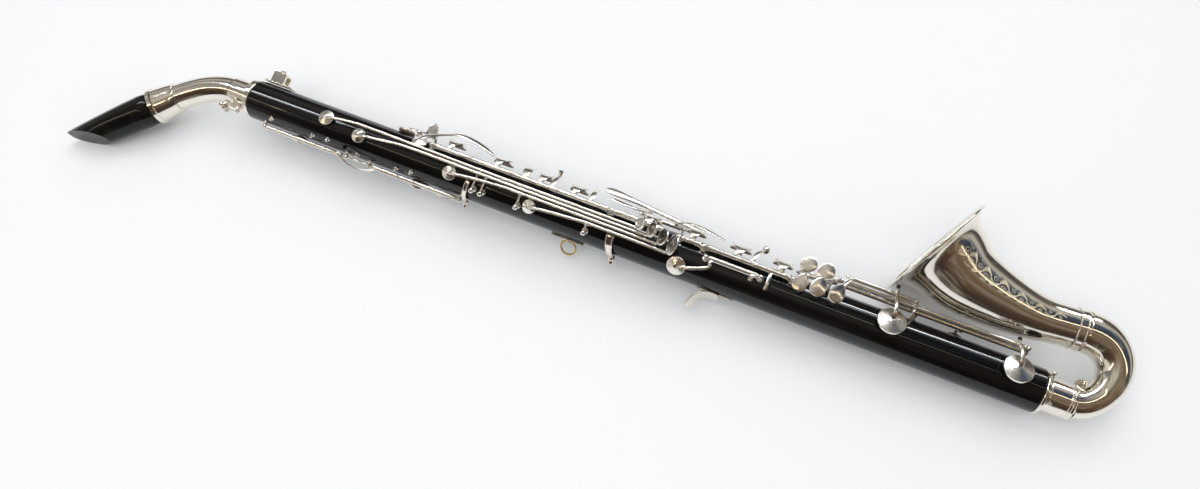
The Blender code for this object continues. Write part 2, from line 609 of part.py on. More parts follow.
def stack_key(name, x0, x1, cups, phi0=STACK_PHI, rad=STACK_RAD, extra=(), ends=90, arm_w=(2.0, 1.7), stand=STACK_OPEN):
    sp = polar(0, rad, phi0)
    solids = [tube_x(x0, x1, sp.y, sp.z)]
    for cx, r in cups:
        solids.append(cup(cx, BODY_R + 0.45, ends, r, 3.0))
        solids.append(wrap([(cx, rad, phi0 + 3), (cx, 20.9, phi0 + 17), (cx, 20.8, ends - 16), (cx, 20.0, ends)], [arm_w[0], arm_w[0], arm_w[1], 1.5], 0.8, per=2))
    solids.extend(extra)
    build(name, SILVER, solids, [tube_x(x0 - 2, x1 + 2, sp.y, sp.z, TUBE_BORE, 10)], pivot=(x0, sp.y, sp.z), stand=stand)


def arm(points, w, t, per=2):
    return swept(points, w, t, 8, hint=(0, 1, 0.4), per=per, sq=3)


stack_key("left_index_key", 159.6, 189.8, [(171, 7.2)])
stack_key("left_middle_key", 190.3, 223.8, [(210.5, 8.2)])
stack_key("left_ring_key", 224.3, 260.8, [(246.5, 6.4)],
          extra=[wrap([(233, 19.2, 43), (233, 20.8, 62), (233.5, 21.4, 80), (234, 21.6, 92)], [2.2, 3.4, 3.6, 2.6], 0.8, per=2),
                 wrap([(255, 19.2, 43), (255, 20.6, 60), (255.4, 22.0, 78), (255.4, 22.6, 84)], [1.6, 1.6, 1.6, 1.8], 0.9, per=2),
                 rod(polar(255.4, 21.8, 84), polar(255.4, 27.0, 84), 2.0, 12)])
stack_key("upper_vent_key", 261.3, 300.4, [(273, 7.8)],
          extra=[wrap([(286, 19.2, 43), (286, 21.0, 62), (286, 22.0, 80), (286, 22.8, 90)], [1.6, 1.8, 2.0, 2.2], 0.8, per=2)])
stack_key("gsharp_key", 306.0, 343.0, [(331.5, 8.2)], stand=0.0)
build("upper_stack_rod", SILVER,
      post(157.1, STACK_PHI, STACK_RAD) + post(303.2, STACK_PHI, STACK_RAD) + post(345.8, STACK_PHI, STACK_RAD)
      + [tube_x(156.5, 346.5, SP.y, SP.z, ROD_R, 10)])

# throat keys rock on cross pins
build("throat_gsharp_key", SILVER,
      [cup(127.5, BODY_R + 0.45, 90, 7.0),
       arm([(127.5, 20.2, 0), (133, 21.0, 0), (138, 21.4, 0), (143, 21.6, 0.5), (146, 22.4, 1.5)], [1.5, 2.0, 2.2, 2.2, 2.0], 0.9),
       rod((138.5, 19.6, -2.4), (138.5, 19.6, 2.4), 1.9, 12),
       disc((147.5, 24.2, 2.4), (0.88, -0.3, 0.38), 6.4, 5.0, 1.5, 16, hint=(0.25, 0.95, 0.15), dish=0.2)],
      [rod((138.5, 19.6, -4), (138.5, 19.6, 4), TUBE_BORE, 10)], pivot=(138.5, 19.6, 0))
build("throat_gsharp_pivot", SILVER,
      [rod((138.5, 19.6, -4.9), (138.5, 19.6, 4.9), ROD_R, 10),
       rod((138.5, 15.9, -3.9), (138.5, 19.6, -3.9), 1.1, 10), rod((138.5, 15.9, 3.9), (138.5, 19.6, 3.9), 1.1, 10),
       ball((138.5, 19.6, -3.9), 1.5, 8, 6, axis=(0, 1, 0)), ball((138.5, 19.6, 3.9), 1.5, 8, 6, axis=(0, 1, 0)),
       box((138.5, 16.2, 0), (3.0, 9.4, 0.7), (1, 0, 0), (0, 1, 0))])
TA = polar(0, 1, 39)
TA_T = Vector((0, math.cos(math.radians(39)), -math.sin(math.radians(39))))
ta_pin = polar(154.6, 21.0, 62)
pin_dir = Vector((0, math.cos(math.radians(62)), -math.sin(math.radians(62))))
build("throat_a_key", SILVER,
      [cup(146.6, BODY_R + 0.45, 39, 5.8),
       wrap([(146.6, 20.2, 39), (150.0, 21.9, 48), (154.6, 23.1, 62), (160.4, 25.0, 74), (167, 27.4, 81)], [1.6, 1.9, 2.1, 2.0, 1.9], 0.85, per=2),
       swept([(165.5, 26.6, 5.0), (171, 28.2, 4.0), (177, 28.6, 3.0), (185, 27.6, 2.2), (193, 25.6, 1.6), (200.5, 23.0, 1.0)], [1.9, 2.6, 3.2, 3.6, 3.4, 1.6], 0.8, 8, hint=(0, 1, 0.2), per=2, sq=2.6),
       rod(ta_pin - pin_dir * 1.4, ta_pin + pin_dir * 1.4, 1.7, 12)],
      [rod(ta_pin - pin_dir * 4, ta_pin + pin_dir * 4, TUBE_BORE - 0.1, 10)], pivot=ta_pin)
build("throat_a_pivot", SILVER,
      [rod(ta_pin - pin_dir * 2.4, ta_pin + pin_dir * 3.4, ROD_R - 0.05, 10),
       rod(polar(154.6, 15.95, 62) + pin_dir * 3.1, ta_pin + pin_dir * 3.1, 1.0, 10), ball(ta_pin + pin_dir * 3.1, 1.3, 8, 6, axis=polar(0, 1, 62))])

# ================================================================ front keys, lower half
LOW_PHI, LOW_RAD = 36.0, 18.8
LP = polar(0, LOW_RAD, LOW_PHI)
stack_key("right_index_key", 358.6, 372.2, [(365.5, 8.0)], LOW_PHI, LOW_RAD)
stack_key("right_middle_key", 377.8, 411.6, [(399.4, 8.6)], LOW_PHI, LOW_RAD,
          extra=[wrap([(410, 19.4, 41), (411.0, 21.0, 60), (413.5, 22.4, 78), (415.5, 23.0, 86)], [1.5, 1.5, 1.4, 1.4], 0.8, per=2),
                 ball(polar(415.8, 23.4, 88), 2.6, 12, 8, axis=(0, 0, 1))])
stack_key("right_ring_key", 412.1, 437.0, [(430.7, 7.8)], LOW_PHI, LOW_RAD,
          extra=[wrap([(424.6, 18.9, 34), (424.6, 20.0, 24), (424.6, 21.2, 8), (424.6, 21.6, -7)], [1.5, 1.3, 1.2, 1.3], 0.8, per=2)])
build("lower_stack_rod", SILVER,
      post(356.2, LOW_PHI, LOW_RAD, r=2.0) + post(375.0, LOW_PHI, LOW_RAD) + post(439.8, LOW_PHI, LOW_RAD)
      + [tube_x(355.8, 440.5, LP.y, LP.z, ROD_R, 10)])

# side B-flat / F-sharp key: cup on the near side, long tube, sliver touch
SB = polar(0, 18.8, 12)
build("side_f_key", SILVER,
      [tube_x(381.2, 416.6, SB.y, SB.z, 1.9),
       cup(361.3, BODY_R + 0.45, -30, 7.0),
       swept([(383.4, SB.y, SB.z), (383.2, 0.6, 20.2), (382.6, -3.2, 20.0), (372.0, -7.4, 18.6), polar(362.0, 19.7, -30)], [1.3, 1.3, 1.3, 1.3, 1.3], 0.9, 8, hint=(0, 0, 1), per=3, sq=3),
       swept([(413, SB.y, SB.z + 0.4), (413.4, 2.4, 20.2), (412.6, -1.2, 19.6)], [1.4, 1.6, 1.8], 0.8, 8, hint=(0, 0, 1), per=2, sq=3)],
      [tube_x(379, 419, SB.y, SB.z, 1.15, 10)], pivot=(381.2, SB.y, SB.z))
build("side_f_rod", SILVER,
      post(379.0, 12, 18.8, r=1.95) + post(418.9, 12, 18.8, r=2.0) + [tube_x(378.6, 419.4, SB.y, SB.z, 0.85, 10)])

# ================================================================ left little-finger levers
L1, L2 = V(0, 22.8, -15.4), V(0, 21.6, -10.6)
build("left_pinky_lever_1", SILVER,
      [tube_x(323.2, 352.4, L1.y, L1.z, 1.7),
       arm([(328, 22.8, -15.2), (327, 27.0, -13.6), (321, 29.3, -9.0), (312, 29.2, -5.0), (303, 28.6, -4.0)], [1.3, 1.4, 1.5, 1.8, 2.0], 0.8),
       disc((298.5, 28.9, -4.2), (0.06, 0.72, 0.69), 10.5, 3.6, 1.4, 18, hint=(1, 0, 0), dish=0.3, egg=0.2),
       arm([(347, 22.8, -15.2), (350.0, 26.0, -14.2), (357, 26.6, -13.0), (364, 26.0, -12.0), (370, 25.2, -11.4)], [1.3, 1.4, 1.5, 1.6, 1.8], 0.8)],
      [tube_x(321, 355, L1.y, L1.z, 1.1, 10)], pivot=(323.2, L1.y, L1.z))
build("left_pinky_lever_2", SILVER,
      [tube_x(323.2, 352.4, L2.y, L2.z, 1.7),
       arm([(328, 22.0, -10.2), (325.4, 25.0, -7.6), (319.5, 24.8, -2.0), (313, 23.0, 1.2)], [1.3, 1.4, 1.5, 1.8], 0.8),
       disc((306.8, 22.6, 1.4), (0.0, 0.72, 0.69), 8.6, 3.4, 1.4, 18, hint=(1, 0, 0), dish=0.3, egg=0.2),
       arm([(347, 22.0, -10.2), (350.5, 25.4, -6.5), (357, 26.6, -1.0), (366, 26.8, 1.2), (373, 25.6, 1.8), (378, 23.6, 2.0)], [1.3, 1.4, 1.6, 2.0, 2.4, 2.6], 0.8),
       disc((380.0, 23.0, 1.9), (0.1, 0.8, 0.6), 7.0, 2.9, 1.3, 16, hint=(1, 0, 0))],
      [tube_x(321, 355, L2.y, L2.z, 1.1, 10)], pivot=(323.2, L2.y, L2.z))
solids = []
for px in (320.8, 354.8):
    solids += [rod((px, 15.5, -6.4), (px, L2.y, L2.z), 1.2, 10), rod((px, L2.y, L2.z), (px, L1.y, L1.z), 1.15, 10), ball((px, L1.y, L1.z), 2.0, 10, 6, axis=(0, 0, 1)), ball((px, L2.y, L2.z), 1.9, 10, 6, axis=(0, 0, 1))]
build("left_pinky_rods", SILVER, solids + [tube_x(320.4, 355.2, L1.y, L1.z, 0.8, 8), tube_x(320.4, 355.2, L2.y, L2.z, 0.8, 8)])

# ================================================================ right little-finger keys
K_C1, K_C2, K_IN, K_LOW, K_SHORT = (26.0, 12.5), (22.6, 11.0), (20.2, 7.2), (23.3, 3.4), (17.2, 13.5)


def petal(c, n, rx, ry, h, t=1.5, egg=0.25):
    return disc(c, n, rx, ry, t, 16, hint=h, dome=0.3, egg=egg)


def kcut(x0, x1, k):
    return [tube_x(x0 - 2, x1 + 2, k[0], k[1], 1.05, 8)]


KR = 1.65
build("right_pinky_key_1", SILVER,      # outer petal, near upper cup
      [tube_x(475.0, 519.4, *K_C1, KR), petal((470.6, 10.4, 19.6), (0.25, -0.1, 1), 6.8, 4.4, (0.25, 1, 0)),
       arm([(472.0, 15.0, 19.4), (473.6, 19.0, 18.8), (476.0, 23.0, 17.4), (477.4, 26.0, 14.0)], [1.8, 1.6, 1.5, 1.4], 0.9),
       cup(510.1, BODY_R + 0.5, 20, 9.4, 3.6, 24, 1.8),
       arm([(508.4, 27.6, 13.6), (508.6, 24.0, 16.6), (509.2, 17.0, 20.6), (509.8, 11.4, 21.6), polar(510.1, 20.3, 20)], [1.5, 1.4, 1.4, 1.5, 2.0], 0.95),
       rod((508.0, 26.6, 14.0), (507.2, 32.6, 14.8), 1.5, 10)],
      kcut(475, 519.4, K_C1), pivot=(475.0, *K_C1), stand=-PINKY_OPEN)
build("right_pinky_key_2", SILVER,      # middle petal, lower cup
      [tube_x(466.6, 596.0, *K_C2, KR), petal((457.6, 10.0, 19.8), (0.1, -0.1, 1), 6.6, 4.6, (0.12, 1, 0)),
       arm([(459.4, 15.0, 19.5), (463.4, 17.6, 18.6), (467.4, 20.4, 16.0), (468.4, 22.6, 12.4)], [1.8, 1.6, 1.5, 1.4], 0.9),
       cup(594.6, BODY_R + 0.5, 18, 9.4, 3.6, 24, 1.8),
       arm([(592.0, 23.2, 12.2), (592.2, 21.4, 16.2), (593.0, 16.0, 20.0), (594.0, 10.4, 21.4), polar(594.6, 20.3, 18)], [1.5, 1.4, 1.4, 1.5, 2.0], 0.95),
       rod((591.8, 22.4, 13.0), (590.6, 27.4, 14.2), 1.5, 10)],
      kcut(466.6, 596, K_C2), pivot=(466.6, *K_C2), stand=-PINKY_OPEN)
build("right_pinky_key_3", SILVER,      # upper disc, cup on the far side
      [tube_x(443.6, 596.2, *K_IN, KR), petal((446.6, 25.4, 17.0), (-0.1, 0.2, 1), 5.4, 5.2, (1, 0, 0), 1.4, 0.0),
       arm([(446.6, 20.4, 7.6), (446.6, 22.6, 11.0), (446.6, 24.4, 14.0), (446.6, 25.2, 16.8)], [1.5, 1.4, 1.4, 2.2], 1.0),
       cup(557.0, BODY_R + 0.5, 150, 9.2, 3.4, 20, 1.6),
       wrap([(557, 20.6, 72), (557, 18.6, 90), (557, 20.9, 112), (557, 21.4, 132), (557, 20.2, 150)], [1.5, 1.5, 1.6, 1.6, 1.8], 0.85, per=2)],
      kcut(443.6, 597, K_IN), pivot=(443.6, *K_IN), stand=PINKY_FAR_OPEN)
build("right_pinky_key_4", SILVER,      # second disc, cup on the far side
      [tube_x(456.6, 572.0, *K_LOW, KR), petal((459.0, 25.6, 17.2), (-0.05, 0.2, 1), 5.2, 5.2, (1, 0, 0), 1.4, 0.0),
       arm([(459.0, 24.2, 4.0), (459.0, 26.6, 7.4), (459.0, 27.2, 12.0), (459.0, 26.2, 16.9)], [1.5, 1.4, 1.4, 2.0], 1.0),
       cup(528.0, BODY_R + 0.5, 150, 8.4, 3.4, 20, 1.6),
       wrap([(528, 23.0, 84), (528, 22.2, 98), (528, 21.6, 116), (528, 21.2, 134), (528, 20.2, 150)], [1.5, 1.5, 1.6, 1.6, 1.8], 0.85, per=2)],
      kcut(456.6, 572, K_LOW), pivot=(456.6, *K_LOW), stand=PINKY_FAR_OPEN)
build("right_pinky_key_5", SILVER,      # inner petal on its own short tube
      [tube_x(441.8, 463.4, *K_SHORT, KR), petal((445.4, 10.0, 19.7), (-0.15, -0.1, 1), 6.4, 4.4, (0.2, 1, 0)),
       arm([(446.8, 14.8, 19.6), (447.6, 17.4, 18.0), (447.8, 17.6, 14.6)], [1.8, 1.6, 1.4], 0.9),
       cup(470.0, BODY_R + 0.5, 165, 7.4, 3.2, 18, 1.4),
       wrap([(461.6, 20.4, 54), (461.8, 17.9, 66), (463.0, 17.7, 90), (466.0, 18.4, 120), (468.6, 20.6, 148), (470, 19.8, 165)], [1.4, 1.4, 1.4, 1.5, 1.6, 1.8], 0.8, per=2)],
      kcut(441.8, 463.4, K_SHORT), pivot=(441.8, *K_SHORT))


# pillars at the bell end carry the rods of the long hinge lines
build("right_pinky_rods_outer", SILVER,
      [tube_x(472.9, 522.4, *K_C1, 0.75, 8), ball((521.8, *K_C1), 1.95, 10, 6, axis=(0, 0, 1)),
       rod((521.8, 18.4, 17.2), (521.8, *K_C1), 1.0, 10), rod((521.8, 9.8, 12.8), (521.8, 19.0, 17.6), 1.15, 10)])
build("right_pinky_rods_inner", SILVER,
      [tube_x(465.6, 599.2, *K_C2, 0.75, 8), tube_x(442.6, 599.2, *K_IN, 0.75, 8), tube_x(455.6, 599.2, *K_LOW, 0.75, 8),
       ball((598.6, *K_C2), 1.95, 10, 6, axis=(0, 0, 1)), ball((598.6, *K_IN), 1.95, 10, 6, axis=(0, 0, 1)), ball((598.6, *K_LOW), 1.95, 10, 6, axis=(0, 0, 1)),
       rod((598.6, 15.9, 4.4), (598.6, *K_IN), 1.2, 10), rod((598.6, *K_IN), (598.6, *K_C2), 1.1, 10), rod((598.6, *K_IN), (598.6, *K_LOW), 1.1, 10)])
build("right_pinky_rod_short", SILVER,
      [tube_x(440.4, 464.8, *K_SHORT, 0.75, 8)] + [ball((464.8, *K_SHORT), 1.3, 10, 6, axis=(0, 0, 1)), rod((464.8, 12.2, 10.6), (464.8, *K_SHORT), 0.9, 8)])

# ================================================================ far side: low C-sharp key
LEFT_PHI, LEFT_RAD = 197.0, 20.6
LEP = polar(0, LEFT_RAD, LEFT_PHI)
build("low_csharp_key", SILVER,
      [tube_x(474.6, 573.0, LEP.y, LEP.z), cup(500.0, BODY_R + 0.5, 155, 9.0, 3.4, 20, 1.6),
       wrap([(500, LEFT_RAD, 194), (500, 21.6, 180), (500, 21.2, 168), (500, 20.2, 155)], [1.6, 1.6, 1.7, 1.9], 0.85, per=2)],
      [tube_x(472, 575, LEP.y, LEP.z, TUBE_BORE, 10)], pivot=(474.6, LEP.y, LEP.z))
build("low_csharp_rod", SILVER,
      post(472.0, LEFT_PHI, LEFT_RAD) + post(575.6, LEFT_PHI, LEFT_RAD) + [tube_x(471.4, 576.2, LEP.y, LEP.z, ROD_R, 10)])

# ================================================================ back: register and thumb keys
BK_PHI, BK_RAD = -80.0, 18.7
BP = polar(0, BK_RAD, BK_PHI)
build("register_key", SILVER,
      [tube_x(18.8, 88.6, BP.y, BP.z, 1.8), cup(44.0, BODY_R + 0.45, -115, 4.6, 2.8, 14, 1.2),
       wrap([(44, 19.0, -84), (44, 20.6, -96), (44, 19.8, -115)], [1.6, 1.6, 1.5], 0.8, per=2),
       wrap([(86.4, 19.0, -76), (86.6, 20.2, -64), (88.4, 20.6, -56)], [1.5, 1.6, 1.4], 0.8, per=2)],
      [tube_x(17, 91, BP.y, BP.z, 1.15, 10)], pivot=(18.8, BP.y, BP.z))
build("register_rod", SILVER,
      post(16.4, BK_PHI, BK_RAD, r=1.95) + post(91.0, BK_PHI, BK_RAD, r=1.8) + post(111.6, BK_PHI, BK_RAD, r=1.7) + post(189.6, BK_PHI, BK_RAD, r=1.95)
      + [tube_x(15.9, 190.2, BP.y, BP.z, 0.85, 10)])
build("register_thumb_lever", SILVER,
      [tube_x(115.2, 187.0, BP.y, BP.z, 1.8),
       swept([(118, BP.y - 0.4, BP.z), (113, -22.6, 3.6), (106, -24.6, 5.6), (98, -24.2, 8.6), (91.5, -21.4, 12.0), (88.0, -19.6, 13.4)], [1.4, 1.4, 1.5, 1.5, 1.4, 1.6], 0.85, 8, hint=(0, -1, 0), per=2, sq=3),
       wrap([(172, 19.2, -84), (172, 20.6, -96), (172, 21.2, -110), (172, 21.2, -122)], [1.8, 2.2, 2.8, 3.4], 0.85, per=2),
       disc(polar(172, 21.6, -126), polar(0, 1, -126), 8.0, 4.4, 1.5, 16, hint=(1, 0, 0), dome=0.2, egg=0.25)],
      [tube_x(113, 189, BP.y, BP.z, 1.15, 10)], pivot=(115.2, BP.y, BP.z))
TH_PHI, TH_RAD = -160.0, 18.9
TP = polar(0, TH_RAD, TH_PHI)
build("thumb_key", SILVER,
      [tube_x(134.6, 165.4, TP.y, TP.z), cup(150.0, BODY_R + 0.45, -120, 7.4, 3.2, 18, 1.2),
       wrap([(150, 19.0, -156), (150, 20.6, -144), (150, 20.0, -120)], [1.8, 1.8, 1.7], 0.85, per=2)],
      [tube_x(132, 168, TP.y, TP.z, TUBE_BORE, 10)], pivot=(134.6, TP.y, TP.z), stand=THUMB_OPEN)
build("thumb_rod", SILVER,
      post(132.0, TH_PHI, TH_RAD, r=2.0) + post(168.0, TH_PHI, TH_RAD, r=2.0) + [tube_x(131.5, 168.5, TP.y, TP.z, ROD_R, 10)])
print("nodes", len(PIVOTS), "triangles", sum(sum(len(p.vertices) - 2 for p in bpy.data.objects[n].data.polygons) for n in PIVOTS))
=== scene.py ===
# Alto clarinet on a pale table: finish, fine shapes and light.
#
# Each node of the frame is redrawn here as a finely turned, swept or spun piece in the same
# place, with its pads, corks and engraving as pieces of their own, and dark pieces of painted
# shade that stand for its screw slots and the shadow in its barrel bores; each piece rides on
# its node's body. Lengths are millimetres in the instrument's own axes (x along the
# body from the neck end, y towards the front, z towards the player's right), and REST turns
# them into the frame's metres.
import json
import math

import bpy
import bmesh
from mathutils import Euler, Matrix, Vector


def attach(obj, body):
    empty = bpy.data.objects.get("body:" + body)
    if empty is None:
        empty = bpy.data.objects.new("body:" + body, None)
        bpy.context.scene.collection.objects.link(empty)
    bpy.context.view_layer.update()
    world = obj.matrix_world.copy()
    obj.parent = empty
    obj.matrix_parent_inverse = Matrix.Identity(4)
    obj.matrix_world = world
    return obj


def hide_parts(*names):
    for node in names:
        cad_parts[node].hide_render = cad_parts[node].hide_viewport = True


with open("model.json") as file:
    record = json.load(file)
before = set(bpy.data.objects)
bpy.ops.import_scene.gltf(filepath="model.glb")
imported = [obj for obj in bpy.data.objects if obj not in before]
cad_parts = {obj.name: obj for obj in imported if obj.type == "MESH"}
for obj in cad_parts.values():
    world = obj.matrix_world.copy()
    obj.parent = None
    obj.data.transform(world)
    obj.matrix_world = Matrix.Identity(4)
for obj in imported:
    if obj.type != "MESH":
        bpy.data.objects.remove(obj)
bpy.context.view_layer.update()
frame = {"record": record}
BODY_OF = {n: b for b, ns in frame["record"]["behaviour"]["bodies"].items() for n in ns}
scene = bpy.context.scene

# ---------------------------------------------------------------- driving dimensions (mm)
BODY_L, BODY_R, BORE_R = 615.4, 15.5, 8.6
GAP = 0.3
NECK_R, NECK_TENON_R = 10.2, 9.2
BOW_R0, BOW_R1 = 10.3, 14.4
BELL_RIM_R, BELL_RIM_X, BELL_RIM_Y, BELL_RIM_ANGLE = 43.3, 523.6, 69.9, 152.0
WALL = 1.1
RIM_PHASE = 0.0
TUBE_R, TUBE_BORE, ROD_R = 2.05, 1.25, 0.9
POST_R, STEM_R = 2.15, 1.15
LEVER_W, LEVER_T = 2.3, 1.8
LEVER_Z = 21.0
SIDE_Y = (5.6, 2.7, -0.3, -3.6)
STACK_PHI, STACK_RAD = 40.0, 18.9
STACK_OPEN, PINKY_OPEN, PINKY_FAR_OPEN, THUMB_OPEN = 11.0, 7.0, 8.0, 8.0
FACET = 1.5                     # roundness of the turned pieces
TIGHT = 0.965                   # swept bars keep this share of their width, clear of neighbours
REST_ROLL, REST_PITCH, REST_YAW, REST_LIFT = 16.435, 0.79, 0.0, 30.684
REST_SHIFT_X, REST_SHIFT_Y = -261.408, -13.773
REST = (Matrix.Translation((REST_SHIFT_X * 0.001, REST_SHIFT_Y * 0.001, REST_LIFT * 0.001))
        @ Euler((math.radians(REST_ROLL), math.radians(REST_PITCH), math.radians(REST_YAW))).to_matrix().to_4x4())


# ---------------------------------------------------------------- geometry helpers
def V(x, y, z):
    return Vector((x, y, z))


def polar(x, rad, phi):
    """A point at radius rad round the body's axis; phi runs from +z towards +y."""
    p = math.radians(phi)
    return Vector((x, rad * math.sin(p), rad * math.cos(p)))


def frame_of(direction, hint=None):
    a = Vector(direction).normalized()
    h = Vector(hint) if hint is not None else Vector((0, 0, 1))
    if abs(a.dot(h.normalized())) > 0.98:
        h = Vector((0, 1, 0)) if abs(a.y) < 0.9 else Vector((1, 0, 0))
    u = (h - a * h.dot(a)).normalized()
    return a, u, a.cross(u)


def closed(verts, faces):
    bm = bmesh.new()
    vs = [bm.verts.new(v) for v in verts]
    for f in faces:
        bm.faces.new([vs[i] for i in f])
    bmesh.ops.recalc_face_normals(bm, faces=bm.faces)
    vol = bm.calc_volume(signed=True)
    if vol < 0:
        bmesh.ops.reverse_faces(bm, faces=bm.faces)
    bm.verts.index_update()
    out = ([v.co.copy() for v in bm.verts], [[v.index for v in f.verts] for f in bm.faces])
    bm.free()
    return out



def sides(n):
    return max(8, 2 * round(n * FACET / 2))


def eased(profile, loop=False, e=0.22):
    """Rounds each corner of a turned profile, so that edges catch the light."""
    P = [Vector((s, r)) for s, r in profile]
    m = len(P)
    out = []
    for i, p in enumerate(P):
        if not loop and i in (0, m - 1):
            out.append((p.x, p.y))
            continue
        a, b = P[i - 1] - p, P[(i + 1) % m] - p
        if a.length < 1e-6 or b.length < 1e-6 or math.pi - a.angle(b) < math.radians(24):
            out.append((p.x, p.y))
            continue
        k = min(e, 0.34 * a.length, 0.34 * b.length)
        q0, q1 = p + a.normalized() * k, p + b.normalized() * k
        for t in (0.0, 0.33, 0.67, 1.0):
            q = q0 * (1 - t) ** 2 + p * (2 * t * (1 - t)) + q1 * t * t
            out.append((q.x, q.y))
    return out


def turned(origin, axis, profile, n=16, hint=None, loop=False, squash=1.0, phase=0.0, ease=0.22):
    """A turned solid. profile is (along, radius) from one end to the other; with loop it is a
    closed ring section. squash scales the radius along the hint's own direction."""
    a, u, w = frame_of(axis, hint)
    n = sides(n)
    o = Vector(origin)
    if ease:
        profile = eased(profile, loop, ease)
    verts, rows = [], []
    for s, r in profile:
        if r < 1e-6 and not loop:
            rows.append([len(verts)])
            verts.append(o + a * s)
        else:
            row = []
            for k in range(n):
                t = 2 * math.pi * k / n + phase
                row.append(len(verts))
                verts.append(o + a * s + u * (r * math.cos(t) * squash) + w * (r * math.sin(t)))
            rows.append(row)
    faces = []
    m = len(rows)
    for i in range(m if loop else m - 1):
        A, B = rows[i], rows[(i + 1) % m]
        if len(A) == 1 and len(B) == 1:
            continue
        for k in range(n):
            k2 = (k + 1) % n
            if len(A) == 1:
                faces.append((A[0], B[k2], B[k]))
            elif len(B) == 1:
                faces.append((A[k], A[k2], B[0]))
            else:
                faces.append((A[k], A[k2], B[k2], B[k]))
    if not loop:
        if len(rows[0]) > 1:
            faces.append(tuple(reversed(rows[0])))
        if len(rows[-1]) > 1:
            faces.append(tuple(rows[-1]))
    return closed(verts, faces)


def rod(p0, p1, r, n=12, phase=0.13):
    """A round bar with a small chamfer at each end."""
    d = Vector(p1) - Vector(p0)
    e = min(0.2, r * 0.25, d.length * 0.2)
    return turned(p0, d, [(0, r - e), (e, r), (d.length - e, r), (d.length, r - e)], n, phase=phase, ease=0)


def ball(c, r, n=12, m=10, axis=(0, 0, 1)):
    m = 10
    prof = [(-r, 0.0)] + [(-r * math.cos(math.pi * i / m), r * math.sin(math.pi * i / m)) for i in range(1, m)] + [(r, 0.0)]
    return turned(c, axis, prof, 13, phase=0.21, ease=0)


def smooth_path(points, per=4):
    """A smooth curve through the points (centripetal in spirit, uniform in form)."""
    P = [Vector(p) for p in points]
    if len(P) < 3 or per < 2:
        return P
    ext = [P[0] * 2 - P[1]] + P + [P[-1] * 2 - P[-2]]
    out = []
    for i in range(1, len(ext) - 2):
        a, b, c, d = ext[i - 1:i + 3]
        for k in range(per):
            t = k / per
            out.append(0.5 * ((2 * b) + (c - a) * t + (2 * a - 5 * b + 4 * c - d) * t * t + (3 * b - a - 3 * c + d) * t ** 3))
    out.append(P[-1])
    return out


def lerp_list(vals, n):
    if not isinstance(vals, (list, tuple)):
        return [vals] * n
    out = []
    m = len(vals) - 1
    for i in range(n):
        t = i / (n - 1) * m
        k = min(int(t), m - 1)
        out.append(vals[k] + (vals[k + 1] - vals[k]) * (t - k))
    return out



def swept(points, half_w, half_t=None, n=16, hint=(0, 0, 1), per=6, sq=2.0, ends=True):
    """A bar swept along a smooth path, its ends softly rounded. half_w is across, half_t along
    the hint; both may be lists read along the path. sq is the corner exponent."""
    per, n = 6, max(16, n)
    P = smooth_path(points, per)
    if half_t is None:
        half_t = half_w
    W, T = lerp_list(half_w, len(P)), lerp_list(half_t, len(P))
    rows_at = [(p, W[i], T[i], (P[min(i + 1, len(P) - 1)] - P[max(i - 1, 0)]).normalized(), 1.0) for i, p in enumerate(P)]
    if ends:
        d0, d1 = rows_at[0][3], rows_at[-1][3]
        e0, e1 = min(W[0], T[0]) * 0.45, min(W[-1], T[-1]) * 0.45
        head = [(P[0] + d0 * e0 * (1 - math.cos(a)), W[0], T[0], d0, 0.62 + 0.38 * math.sin(a)) for a in (0.0, 0.5, 1.0)]
        tail = [(P[-1] - d1 * e1 * (1 - math.cos(a)), W[-1], T[-1], d1, 0.62 + 0.38 * math.sin(a)) for a in (1.0, 0.5, 0.0)]
        keep = [r for r in rows_at if (r[0] - P[0]).length > e0 * 1.1 and (r[0] - P[-1]).length > e1 * 1.1]
        rows_at = head + keep + tail
    verts, rows = [], []
    h = Vector(hint)
    for p, w0, t0, d, f in rows_at:
        u = h - d * h.dot(d)
        if u.length < 1e-4:
            u = Vector((0, 1, 0)) - d * d.y
        u.normalize()
        h = u.lerp(Vector(hint), 0.1) if abs(Vector(hint).normalized().dot(d)) < 0.9 else u
        w = d.cross(u)
        row = []
        for k in range(n):
            t = 2 * math.pi * (k + 0.5) / n
            c, s = math.cos(t), math.sin(t)
            m = (abs(c) ** sq + abs(s) ** sq) ** (-1.0 / sq) * TIGHT * f
            row.append(len(verts))
            verts.append(p + w * (c * m * w0) + u * (s * m * t0))
        rows.append(row)
    faces = []
    for A, B in zip(rows, rows[1:]):
        for k in range(n):
            k2 = (k + 1) % n
            faces.append((A[k], A[k2], B[k2], B[k]))
    faces.append(tuple(reversed(rows[0])))
    faces.append(tuple(rows[-1]))
    return closed(verts, faces)


